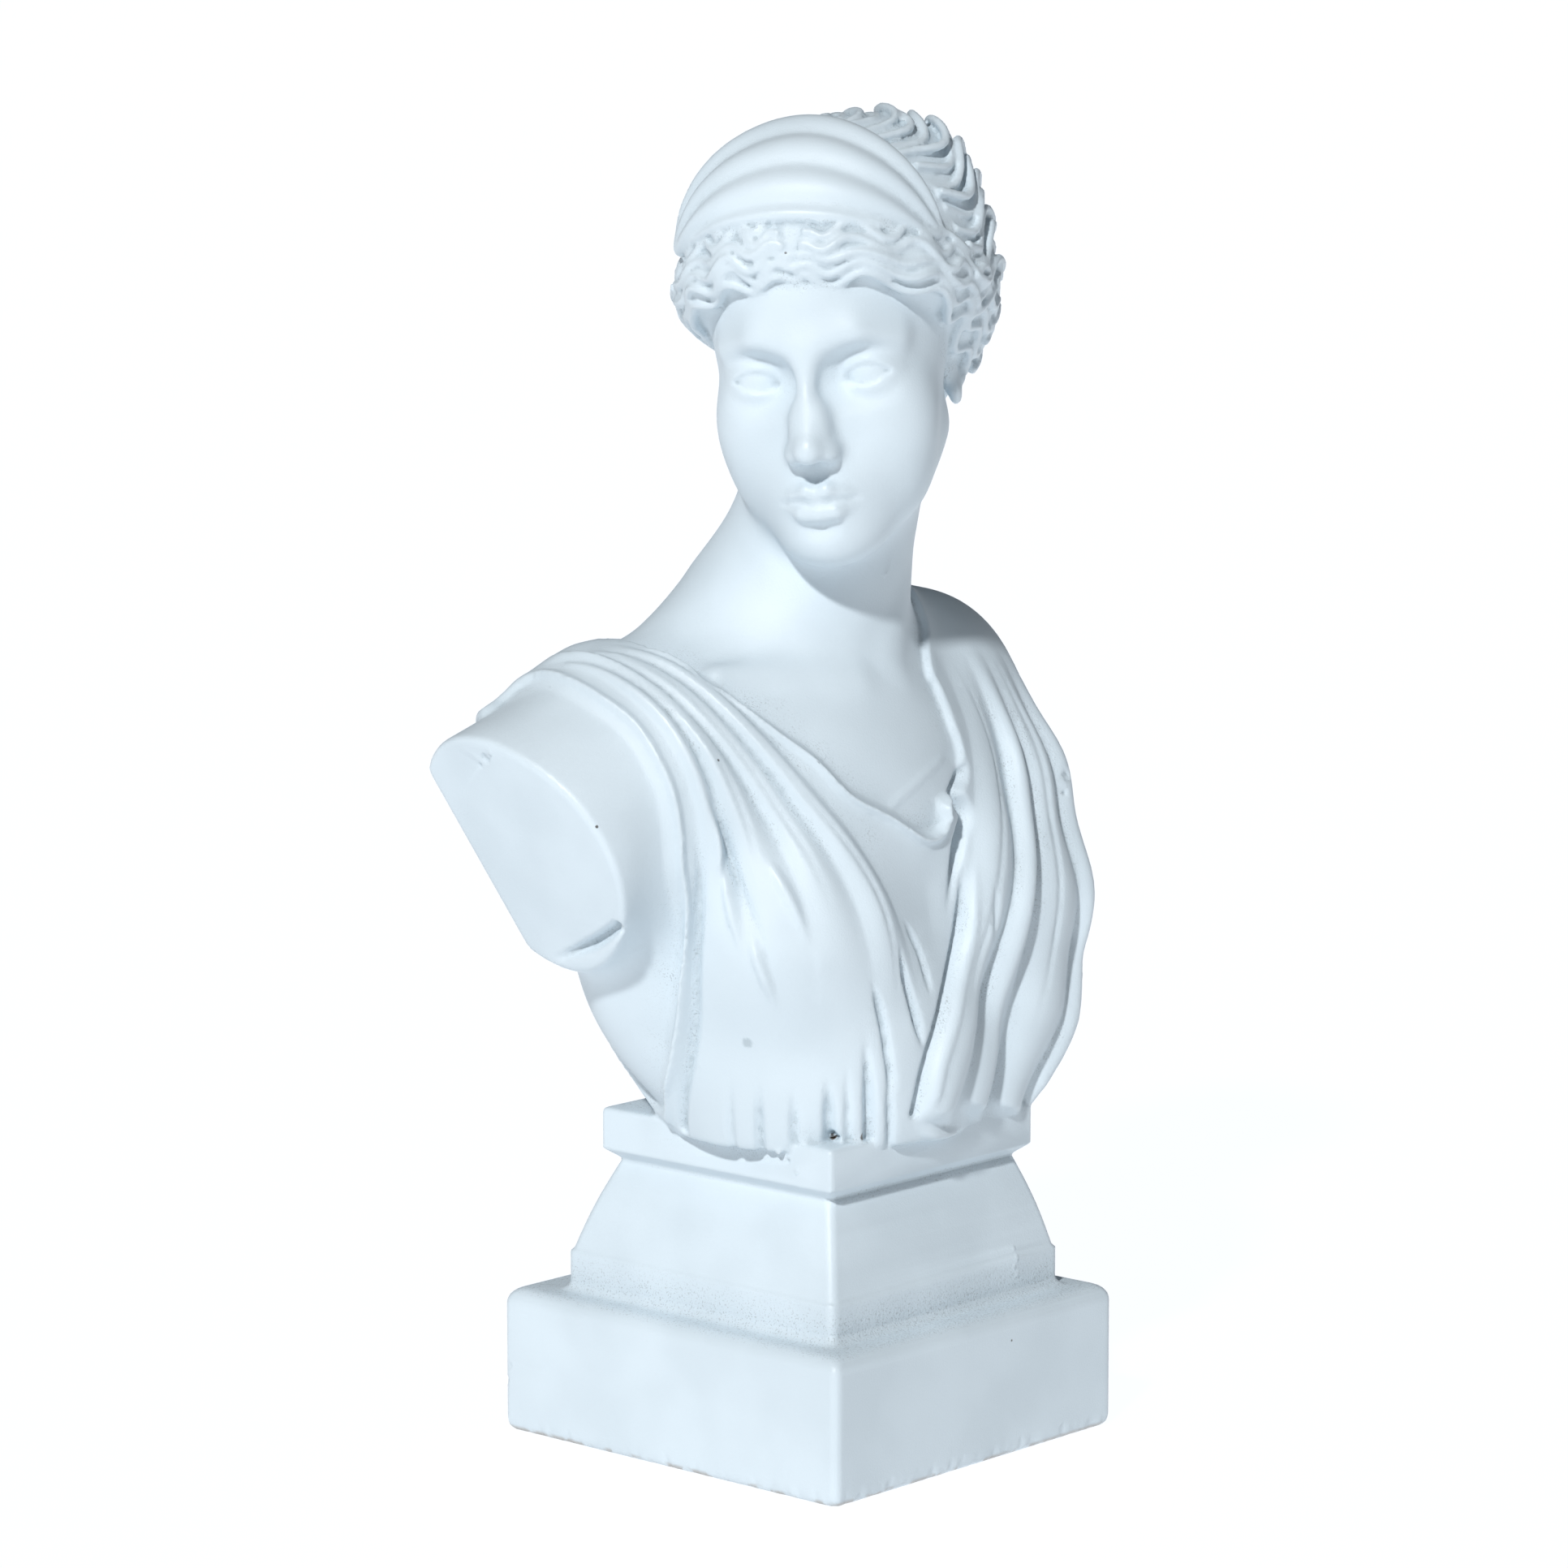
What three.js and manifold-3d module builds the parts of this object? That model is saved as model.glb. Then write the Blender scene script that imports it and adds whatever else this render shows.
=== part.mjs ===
// A small draped bust in the classical manner, cast in one piece with its moulded plinth.
// Millimetres, +Z up. The origin is on the ground under the middle of the plinth, and the chest faces -Y.
import * as THREE from "three";
import Module from "manifold-3d";

// Plinth. Each course is a little deeper, front to back, than it is wide. All of them line up in front.
const baseWidth = 95; // slab that stands on the ground
const baseDepth = 101;
const baseHeight = 33;
const baseEdgeRadius = 3.5; // round of its upper edge
const baseWear = 1.2; // round of its lower edge
const cornerRadius = 2; // round of its upright corners
const footWidth = 77.5; // upright band at the foot of the flared body
const footDepth = 80.5;
const footHeight = 9;
const neckWidth = 63; // where the flared body meets the cap
const neckDepth = 63.6;
const flareHeight = 21.5;
const flareSwell = 0.5; // how far the flared sides stand out from straight
const capOverhang = 2.9; // how far the cap stands out past the neck of the body
const capLip = 2.4; // sloping underside of the cap
const capHeight = 9.4;
const capEdgeRadius = 1;

// Figure. Its own numbers further down are parts of its height, from the plinth's top to the crown.
const figureHeight = 224.7;
const partCount = 225;
const figureSink = 1.8; // how far the drapery hangs down past the plinth's top
const clothThickness = 2;
const hemRoll = 1.3;
const foldDepth = 2.8; // height of a full fold above the valleys beside it
const lockWidth = 5;
const lockDepth = 1.9; // height of a lock of hair above its partings
const bandRidge = 1.4; // height of the soft ridges along the head band

// Turn of the head, in degrees
const headTurn = -60;
const headBow = 8;
const headLean = -5.5;

// Fineness of the facets
const sampleStep = 1.3;
const faceBudget = 9000;

const degrees = Math.PI / 180;
const part = figureHeight / partCount;
const plinthHeight = baseHeight + footHeight + flareHeight + capLip + capHeight;

// Small helpers for numbers
const mix = (a, b, t) => a + (b - a) * t;
const clamp = (value, low, high) => Math.min(high, Math.max(low, value));
const ease = (low, high, value) => {
  const t = clamp((value - low) / (high - low), 0, 1);
  return t * t * (3 - 2 * t);
};

// Rounded forms. Each is a function that gives a point's distance from the form's skin, negative inside.
function ellipsoid([cx, cy, cz], [rx, ry, rz]) {
  return (x, y, z) => {
    const dx = (x - cx) / rx;
    const dy = (y - cy) / ry;
    const dz = (z - cz) / rz;
    const inner = Math.sqrt(dx * dx + dy * dy + dz * dz);
    const slope = Math.sqrt((dx / rx) ** 2 + (dy / ry) ** 2 + (dz / rz) ** 2);
    return slope < 1e-9 ? -Math.min(rx, ry, rz) : (inner * (inner - 1)) / slope;
  };
}

// A limb with round ends, thicker or thinner at its far end.
function limb([ax, ay, az], [bx, by, bz], startRadius, endRadius) {
  const ux = bx - ax;
  const uy = by - ay;
  const uz = bz - az;
  const lengthSquared = ux * ux + uy * uy + uz * uz;
  return (x, y, z) => {
    const px = x - ax;
    const py = y - ay;
    const pz = z - az;
    const t = clamp((px * ux + py * uy + pz * uz) / lengthSquared, 0, 1);
    const dx = px - ux * t;
    const dy = py - uy * t;
    const dz = pz - uz * t;
    return Math.sqrt(dx * dx + dy * dy + dz * dz) - mix(startRadius, endRadius, t);
  };
}

// Everything on the far side of a plane is inside.
function halfSpace([px, py, pz], normal) {
  const { x: nx, y: ny, z: nz } = new THREE.Vector3(...normal).normalize();
  return (x, y, z) => (x - px) * nx + (y - py) * ny + (z - pz) * nz;
}

// Joins and cuts with a soft seam of the given width.
const join2 = (a, b, seam) => {
  const h = Math.max(seam - Math.abs(a - b), 0) / seam;
  return Math.min(a, b) - h * h * seam * 0.25;
};
const join = (seam, ...forms) => (x, y, z) => {
  let d = forms[0](x, y, z);
  for (let i = 1; i < forms.length; i++) d = join2(d, forms[i](x, y, z), seam);
  return d;
};
const cut = (seam, form, tool) => (x, y, z) => -join2(-form(x, y, z), tool(x, y, z), seam);
const within = (seam, form, bound) => cut(seam, form, (x, y, z) => -bound(x, y, z));
const chain = (seam, stations) =>
  join(seam, ...stations.slice(1).map((b, i) => limb(stations[i], b, stations[i][3], b[3])));
const bothSides = (form) => (x, y, z) => form(Math.abs(x), y, z);

// The slope of a form's distance, by small differences.
function slopeOf(form, p) {
  const e = 0.2;
  return new THREE.Vector3(
    form(p.x + e, p.y, p.z) - form(p.x - e, p.y, p.z),
    form(p.x, p.y + e, p.z) - form(p.x, p.y - e, p.z),
    form(p.x, p.y, p.z + e) - form(p.x, p.y, p.z - e),
  ).normalize();
}

function settle(form, p) {
  for (let i = 0; i < 6; i++) p.addScaledVector(slopeOf(form, p), -form(p.x, p.y, p.z));
  return p;
}

// Folds and locks are drawn as seen from one side: right and up are parts on a sheet through the
// figure's middle, and the line is carried along the sight line until it meets the body.
const sheetHeight = 74.7;
function viewpoint(azimuth, elevation, distance = 1277) {
  const a = azimuth * degrees;
  const e = elevation * degrees;
  const back = new THREE.Vector3(Math.sin(a) * Math.cos(e), -Math.cos(a) * Math.cos(e), Math.sin(e));
  const right = new THREE.Vector3(Math.cos(a), Math.sin(a), 0);
  const up = new THREE.Vector3().crossVectors(back, right);
  return { eye: new THREE.Vector3(0, 0, sheetHeight).addScaledVector(back, distance), right, up, distance };
}

function carryOnto(form, view, [across, high]) {
  const aim = new THREE.Vector3(0, 0, sheetHeight);
  aim.addScaledVector(view.right, across).addScaledVector(view.up, high);
  const sight = aim.sub(view.eye).normalize();
  const p = view.eye.clone().addScaledVector(sight, view.distance - 130);
  let nearest = Infinity;
  const best = p.clone();
  for (let i = 0; i < 200; i++) {
    const d = form(p.x, p.y, p.z);
    if (d < nearest) {
      nearest = d;
      best.copy(p);
    }
    if (d < 0.02) break;
    p.addScaledVector(sight, Math.max(d * 0.7, 0.05));
  }
  return settle(form, best);
}

// A line that lies on a form, with the form's outward direction at each of its points.
function surfaceLine(form, points, { closed = false, steps = 24 } = {}) {
  const curve = new THREE.CatmullRomCurve3(points, closed, "centripetal");
  const spine = curve.getSpacedPoints(steps).map((p) => settle(form, p));
  const outward = spine.map((p) => slopeOf(form, p));
  const box = new THREE.Box3().setFromPoints(spine);
  const flat = new Float64Array(spine.flatMap((p) => [p.x, p.y, p.z]));
  const side = new Float64Array(
    spine.flatMap((p, i) => {
      const before = spine[closed && i === 0 ? steps - 1 : Math.max(i - 1, 0)];
      const after = spine[closed && i === steps ? 1 : Math.min(i + 1, steps)];
      const along = new THREE.Vector3().subVectors(after, before).normalize();
      const across = new THREE.Vector3().crossVectors(outward[i], along).normalize();
      return [across.x, across.y, across.z];
    }),
  );
  return { flat, side, box, steps };
}

// The nearest place on a line: how far along from 0 to 1, how far away, and on which side.
function nearestOn(line, x, y, z) {
  const { flat, side, steps } = line;
  let nearest = Infinity;
  let along = 0;
  let across = 0;
  for (let i = 0; i < steps; i++) {
    const k = 3 * i;
    const ux = flat[k + 3] - flat[k];
    const uy = flat[k + 4] - flat[k + 1];
    const uz = flat[k + 5] - flat[k + 2];
    const px = x - flat[k];
    const py = y - flat[k + 1];
    const pz = z - flat[k + 2];
    const t = clamp((px * ux + py * uy + pz * uz) / (ux * ux + uy * uy + uz * uz + 1e-12), 0, 1);
    const dx = px - ux * t;
    const dy = py - uy * t;
    const dz = pz - uz * t;
    const d = dx * dx + dy * dy + dz * dz;
    if (d < nearest) {
      nearest = d;
      along = (i + t) / steps;
      across =
        dx * mix(side[k], side[k + 3], t) +
        dy * mix(side[k + 1], side[k + 4], t) +
        dz * mix(side[k + 2], side[k + 5], t);
    }
  }
  return { nearest, along, across };
}

// Height of a set of ridges over a form, at a point that lies skin away from it. Ridges that meet keep
// a sharp valley between them. A ridge of negative height is a groove.
function reliefOf(ridges) {
  const reach = Math.max(...ridges.map((r) => r.width * 1.6));
  ridges.forEach((r) => r.line.box.expandByScalar(reach + 3));
  return (x, y, z, skin) => {
    let raised = 0;
    let sunk = 0;
    for (const { line, width, height, fade, steep } of ridges) {
      const { min, max } = line.box;
      if (x < min.x || y < min.y || z < min.z || x > max.x || y > max.y || z > max.z) continue;
      const { nearest, along, across } = nearestOn(line, x, y, z);
      const swell = ease(0, fade[0], along) * ease(0, fade[1], 1 - along);
      const half = Math.max(width * (0.5 + 0.5 * swell) * (across > 0 ? 1 : steep), 1.6);
      const q = Math.abs(across) / half;
      if (q >= 1 || nearest > half * half * 1.7 + skin * skin) continue;
      const section = height < 0 ? (1 - q * q) ** 2 * (1 - 0.3 * q) : (1 - q * q) * (1 - q * q * 0.4);
      const h = height * swell * section;
      raised = Math.max(raised, h);
      sunk = Math.min(sunk, h);
    }
    return raised + sunk;
  };
}

const drawnFrom = viewpoint(-48.3, 8.65);
const ridge = (line, width, height, { fade = [0.12, 0.12], steep = 0.7 } = {}) => ({
  line,
  width,
  height,
  fade,
  steep,
});

// Ridges spread evenly between a first and a last one, each drawn as a few points of the sheet.
function fan(form, first, last, count, width, height, options = {}) {
  return Array.from({ length: count }, (_, i) => {
    const t = count === 1 ? 0 : i / (count - 1);
    const sway = Math.sin(i * 2.4 + count) * 0.16;
    const points = first.map(([a, b], k) => {
      const shift = clamp(t + (k % 2 ? sway : -sway) / count, 0, 1);
      return carryOnto(form, drawnFrom, [mix(a, last[k][0], shift), mix(b, last[k][1], shift)]);
    });
    return ridge(surfaceLine(form, points), width * (1 + sway), height * (1 - sway * 1.5), options);
  });
}

// Pleats that lie side by side between valley lines, and lower where they are narrow
function pleats(form, valleys, height, fade) {
  const lines = valleys.map((points) => {
    const carried = points.map((p) => carryOnto(form, drawnFrom, p));
    return surfaceLine(form, carried, { steps: 40 });
  });
  return lines.slice(1).map((last, i) => {
    const first = lines[i];
    const box = first.box.clone().union(last.box).expandByScalar(4);
    const gaps = Array.from({ length: 41 }, (_, k) =>
      Math.hypot(...[0, 1, 2].map((m) => first.flat[3 * k + m] - last.flat[3 * k + m])),
    );
    const reach = 1.5 * Math.max(...gaps);
    const size = 0.8 + 0.2 * Math.sin(2.3 * i);
    return (x, y, z) => {
      const { min, max } = box;
      if (x < min.x || y < min.y || z < min.z || x > max.x || y > max.y || z > max.z) return 0;
      const a = nearestOn(first, x, y, z);
      const b = nearestOn(last, x, y, z);
      const toFirst = Math.sqrt(a.nearest);
      const width = toFirst + Math.sqrt(b.nearest);
      if (a.across * b.across > 0 || width > reach) return 0;
      const t = (a.along + b.along) / 2;
      const swell = ease(0, fade[0], t) * ease(0, fade[1], 1 - t) * Math.min(1, width / 5);
      return height * size * swell * (Math.sqrt(Math.sin((Math.PI * toFirst) / width) ** 2 + 0.03) - 0.17);
    };
  });
}

// Neck, shoulders and chest, in parts, with z from the plinth's top
function nakedBody() {
  const chest = join(
    16,
    ellipsoid([0, 6, 66], [50, 36, 44]),
    ellipsoid([-1, -2, 16], [36.5, 34, 42]),
    ellipsoid([-9.5, -9.5, 13], [27.5, 22.5, 33]),
    ellipsoid([-26, 17, 47], [27, 24, 40]),
    ellipsoid([33, 4, 38], [22.5, 26, 39]),
  );
  const breasts = bothSides(ellipsoid([25, -16, 44], [20, 17, 22]));
  const shoulders = join(
    10,
    limb([-42, 17, 78], [-95, 24, 47], 25, 27),
    limb([-44, 26, 83], [-95, 35, 62.5], 17.2, 19),
    ellipsoid([46, 10, 74], [24, 24, 36]),
    limb([-6, 18, 106.5], [-52, 24, 84.5], 16, 10),
    limb([8, 16, 114], [40, 10, 86], 16, 18),
  );
  const neck = limb([2, 9, 100], [6, 0.5, 142], 22, 20);
  const strapMuscle = limb([22, 0, 134], [4, -14, 101], 5, 3.5);
  const rightBone = limb([-6, -14, 97], [-34, -1, 101], 3.6, 2);
  const leftBone = limb([6, -14, 97], [30, -4, 99], 3.6, 2);
  const body = join(14, chest, shoulders, neck);
  return join(5, join(12, body, breasts), strapMuscle, join(3, rightBone, leftBone));
}

// The right arm ends in a flat cut with a straight back edge, and the whole figure in a flat underside.
const armCut = halfSpace([-72, 24, 68], [-1, 0.05, -0.4]);
const armBack = halfSpace([-57.5, 64.5, 78], [-0.6365, 0.606, -0.477]);
const underside = (x, y, z) => -figureSink / part - z;

// The great fold of the mantle that falls from the left shoulder
const mantle = chain(10, [
  [20, 16, 101, 14],
  [37.5, 5, 89, 15],
  [45.5, -7, 66, 15.5],
  [44.5, -14, 44, 16.4],
  [36, -18, 21, 15.2],
  [25.5, -20, 2, 13],
]);

// Skull and face, with the head's own x to its left, -y to its face and z to its crown. The head is 84
// parts from chin to crown, the eyes lie half way up, and the mouth a third of the way from nose to chin.
function faceForm() {
  const skull = ellipsoid([0, 4, 13], [27.5, 35.5, 30]);
  const mask = ellipsoid([0, -8, -8], [23.8, 24.5, 33]);
  const jaw = bothSides(limb([16, 0, -18], [6, -22, -33], 6, 7));
  const chin = ellipsoid([0, -28, -35.2], [8.6, 7.4, 6.8]);
  const cheeks = bothSides(ellipsoid([13.5, -18.5, -11], [10, 9.5, 11]));
  const lowerCheeks = bothSides(ellipsoid([11, -18, -21], [10, 9.5, 12]));
  const muzzle = ellipsoid([0, -26.3, -24.5], [11.5, 9, 10.5]);
  const head = join(7, skull, mask, jaw, chin, cheeks, lowerCheeks, muzzle);
  const brows = bothSides(chain(3, [[2.5, -29.6, 7, 1.7], [11, -28.3, 9, 1.3], [18.5, -22, 7, 0.8]]));
  const sockets = bothSides(ellipsoid([12.2, -33.6, 0.4], [9.4, 8.2, 6.2]));
  const nose = join(
    2.5,
    chain(1.5, [[0, -30.4, 7, 1.9], [0, -34.4, -3, 1.9], [0, -38.6, -12, 2.4]]),
    ellipsoid([0, -39.4, -13.8], [3.1, 3.2, 2.9]),
    bothSides(ellipsoid([3.8, -35.2, -15], [2.3, 3.5, 2.4])),
    bothSides(ellipsoid([2.3, -34.3, -10], [2.5, 3.8, 6])),
  );
  const nostrils = bothSides(ellipsoid([2, -37.4, -18.4], [1.1, 1.9, 1.4]));
  const upperLip = chain(0.6, [
    [0, -36.1, -24, 1.6],
    [2.2, -36, -23.2, 1.8],
    [5.2, -34.4, -24.2, 1.4],
    [8.4, -32, -25.5, 0.7],
  ]);
  const lowerLip = chain(0.6, [[0, -35.9, -28.1, 2.3], [3.4, -35.3, -27.9, 2.2], [7.6, -32.3, -26.4, 0.8]]);
  const slit = chain(0.3, [[0, -38.5, -25.7, 0.6], [4.5, -36.6, -25.5, 0.55], [8.5, -33.2, -25.9, 0.4]]);
  const underLip = ellipsoid([0, -38.6, -32], [5.5, 3, 1.8]);
  const eyeball = bothSides(ellipsoid([12, -21.4, -0.6], [6.6, 6.6, 6.6]));
  const lidSkin = bothSides(ellipsoid([12, -21.4, -0.6], [7.7, 7.7, 7.7]));
  const lids = (x, y, z) => {
    const across = (Math.abs(x) - 12) / 6;
    const arch = Math.max(1 - across * across, -1);
    const up = z + 0.6 - 0.5 * across;
    return Math.max(lidSkin(x, y, z), Math.min(3.1 * arch - up, up + 1.8 * arch));
  };
  const carved = cut(0.8, join(3, cut(5, join(7, head, brows), sockets), nose), nostrils);
  const lipped = join(1.6, cut(2.5, carved, underLip), bothSides(upperLip), bothSides(lowerLip));
  const mouthed = cut(0.8, lipped, bothSides(slit));
  return (x, y, z) => Math.min(join2(mouthed(x, y, z), lids(x, y, z), 1.6), eyeball(x, y, z));
}

// Hair: a full roll round the brow, a mass over the crown behind the band, and a knot at the back
function hairForm() {
  const dome = ellipsoid([0.5, 8, 18.5], [32.5, 35, 31.5]);
  const back = ellipsoid([7, 17, 14.6], [28, 23, 34]);
  const crown = ellipsoid([13.8, 17, 31.4], [16.8, 18, 16.8]);
  const knot = ellipsoid([0, 46, 16], [15, 13, 15]);
  const roll = bothSides(
    chain(1.5, [
      [0, -24.6, 26.6, 6.7],
      [7, -24.2, 26.1, 6.8],
      [14, -21.6, 24, 7.1],
      [20.5, -15.8, 20.4, 7.5],
      [25, -8, 17, 7.6],
      [27, 2, 13.5, 7.6],
      [26, 11, 10, 8],
      [22, 19, 5, 8],
    ]),
  );
  const mass = join(6, join(4, dome, back, crown), roll, knot);
  return (x, y, z) => {
    const d = mass(x, y, z);
    if (Math.abs(d) > 6) return d;
    const hairline = -3 + 24 * Math.cos(Math.atan2(x, 4 - y));
    return -join2(-d + lockHeight(x, y, z), (z - hairline) * 0.9, 3.5);
  };
}

// Locks run back from a parting over the brow in waves, and over the crown towards the knot.
const crest = (phase) => Math.sqrt(1 - (2 * (phase - Math.floor(phase)) - 1) ** 2) - 0.6;
function lockHeight(x, y, z) {
  const turn = Math.abs(Math.atan2(x, 4 - y));
  const below = 20.5 - z - 0.5 * y;
  const wave = 0.4 * Math.sin(turn * 8 + below * 0.2) - 1.2 * Math.exp(-Math.abs(x) / 6);
  const rows = (below * part) / lockWidth + wave;
  const lean = Math.atan2(x - 2, z - 4);
  const strands = lean * 5 + 0.5 * Math.sin(y * 0.28 + lean * 3);
  return (lockDepth / part) * mix(crest(rows), crest(strands), ease(-2, 2, -below));
}

// Padded crescent band, deepest over the brow and tapering to a point above each ear
function headBand() {
  const pad = ellipsoid([-1.2, 4.4, 22.2], [37.2, 38, 32.8]);
  return (x, y, z) => {
    const d = pad(x, y, z);
    if (d > 8) return d;
    const above = (z + 0.5 * y - 20.5 + 0.07 * x + 2.2 * (x / 30) ** 2) * 0.89;
    const before = -1.5 - 3.5 * (1 - Math.cos(Math.PI * Math.min(Math.abs(x) / 30, 1))) - y;
    const place = clamp(above / (Math.abs(above) + Math.abs(before) + 0.01), 0, 1);
    const wave = Math.sqrt(Math.cos(place * Math.PI * 3.5) ** 2 + 0.01) - 1;
    const ridges = (bandRidge / part) * wave * ease(2, 16, above + before);
    const thinned = 3.2 * (1 - ease(2, 26, above + before));
    return -join2(join2(-d + ridges - thinned, above, 3), before, 2);
  };
}

const headPlace = new THREE.Matrix4()
  .makeRotationZ(headTurn * degrees)
  .multiply(new THREE.Matrix4().makeRotationX(headBow * degrees))
  .multiply(new THREE.Matrix4().makeRotationY(headLean * degrees))
  .setPosition(2.4, -3.2, 170.5);
const toHead = headPlace.clone().invert().elements;
const inHead = (form) => (x, y, z) =>
  form(
    toHead[0] * x + toHead[4] * y + toHead[8] * z + toHead[12],
    toHead[1] * x + toHead[5] * y + toHead[9] * z + toHead[13],
    toHead[2] * x + toHead[6] * y + toHead[10] * z + toHead[14],
  );

// All the figure's carving over its rounded forms
function figureForm() {
  const draped = join(9, nakedBody(), mantle);
  const onBody = (points) => points.map((p) => carryOnto(draped, drawnFrom, p));
  const depth = foldDepth / part;
  const neckFront = [
    [-41.5, 29.2], [-30.6, 24], [-19.7, 16.6], [-9, 9.2], [-1.5, 4], [6.3, -3.8], [15.4, -8.6],
    [22, -12.8], [25.2, -12.6], [27.2, -9.5], [27.2, -5.8], [29.2, -2.4],
  ];
  const armFront = [
    [-75.5, 14.8], [-71.1, 19.1], [-62.8, 20.9], [-55.5, 19.7], [-48.2, 15.5], [-42, 10.6], [-37.3, 3.3],
    [-34.2, -4], [-32.8, -12.5], [-32.4, -19.8], [-30.6, -28.1], [-29.3, -37.2], [-30, -45.8],
    [-31.5, -55.8], [-32.6, -64.9], [-33.8, -73.9],
  ];
  const behindNeck = [[-38, 30, 108], [0, 42, 104], [24, 34, 108]];
  const behindArm = [[-34, 30, 6], [-42, 40, 50], [-62, 44, 86]];
  const places = (points) => points.map((p) => new THREE.Vector3(...p));
  const neckSide = onBody([[23.4, 26], [25.6, 20], [28, 13.5], [30.4, 7.5], [31, 2.5]]);
  const aroundNeck = [...onBody(neckFront.toReversed()), ...places(behindNeck), ...neckSide];
  const neckline = surfaceLine(draped, aroundNeck, { closed: true, steps: 90 });
  const aroundArm = [...onBody(armFront), ...places(behindArm)];
  const armhole = surfaceLine(draped, aroundArm, { closed: true, steps: 90 });

  // Valleys from the right shoulder down over the breast, and from the left shoulder down the mantle
  const chestValleys = [
    [[-70.6, 19], [-59.7, 22.6], [-41.5, 15.9], [-30.6, -0.3], [-26.4, -25.8], [-25.9, -38.5]],
    [[-65.1, 21.8], [-52.4, 24], [-34.2, 13.8], [-23.3, -6.7], [-16, -32.1], [-13.8, -42.1]],
    [[-57.8, 24.8], [-46, 24.7], [-27.9, 11.5], [-12.4, -9.4], [-3.3, -29.4], [-1.5, -36.7]],
    [[-51.5, 26.6], [-38.8, 24.2], [-17.9, 7.9], [-0.6, -14.9], [10.3, -41.2], [13, -54.9]],
    [[-45.1, 28.2], [-32.4, 23.8], [-10.6, 6.9], [7.6, -14.9], [19.9, -42.1], [22.3, -59.4]],
  ];
  const mantleValleys = [
    [[25.8, 27.8], [31.2, 11.5], [33, -4], [29.9, -34.9], [23, -63.9], [19.4, -77.6]],
    [[29, 30.6], [36.7, 14.2], [40.8, -4], [40.3, -32.1], [32.6, -62.1], [29, -73.9]],
    [[32.1, 31.5], [41.2, 13.3], [46, -5.8], [45.8, -31.2], [39.4, -60.3], [35.8, -73.9]],
    [[35.8, 31.9], [45.8, 12.4], [51.7, -7.6], [54.9, -35.8], [48.5, -62.1], [43, -74.9]],
    [[39.4, 31.9], [51.2, 11.5], [56.7, -4.9], [59.4, -34.9], [53, -61.2], [48, -73]],
  ];
  const packed = [
    ...pleats(draped, chestValleys, depth * 1.3, [0.15, 0.3]),
    ...pleats(draped, mantleValleys, depth * 1.5, [0.3, 0.02]),
  ];
  const fold = (points, width, height, fade) =>
    ridge(surfaceLine(draped, onBody(points)), width, height, { fade, steep: 1 });
  const cloth = reliefOf([
    fold([[32.5, 4], [30.6, -4], [29.5, -12], [29, -20], [27.5, -32]], 2.4, -depth * 1.4, [0.15, 0.5]),
    fold([[15.3, -36.7], [17.1, -43], [19.9, -51.2], [22.6, -62.1]], 2.2, -depth * 0.8, [0.3, 0.3]),
    ...fan(
      draped,
      [[-22.4, -64.9], [-21.5, -82.6]],
      [[11.2, -62.1], [11.4, -82.6]],
      5, 2, -depth * 0.3, { fade: [0.7, 0.02], steep: 1 },
    ),
  ]);
  const hem = (points, width, fade) =>
    ridge(surfaceLine(draped, onBody(points), { steps: 60 }), width, hemRoll / part, { fade, steep: 1 });
  const hems = reliefOf([hem(neckFront, 2.4, [0.1, 0.06]), hem(armFront, 2.8, [0.1, 0.3])]);

  const body = (x, y, z) => {
    const skin = draped(x, y, z);
    if (Math.abs(skin) > 9) return skin;
    const inside = Math.min(nearestOn(neckline, x, y, z).across, nearestOn(armhole, x, y, z).across);
    const laid = cloth(x, y, z, skin) + packed.reduce((sum, height) => sum + height(x, y, z), 0);
    return skin - ease(-0.5, 0.5, inside) * (clothThickness / part + laid) - hems(x, y, z, skin);
  };
  const trim = (x, y, z) => Math.max(armCut(x, y, z), armBack(x, y, z), underside(x, y, z));
  const trimmed = within(1.5, body, trim);
  const underArm = [[-44.2, -32.8], [-50.6, -37.2], [-60.5, -41.5]];
  const crease = underArm.map((p) => carryOnto(trimmed, drawnFrom, p));
  const creased = cut(1, trimmed, chain(0.5, crease.map(({ x, y, z }) => [x, y, z, 1.3])));

  const hair = hairForm();
  const face = faceForm();
  const band = headBand();
  const head = (x, y, z) => Math.min(join2(face(x, y, z), hair(x, y, z), 1.5), band(x, y, z));
  const placedHead = inHead(head);
  return (x, y, z) => join2(creased(x, y, z), placedHead(x, y, z), 5);
}

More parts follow.
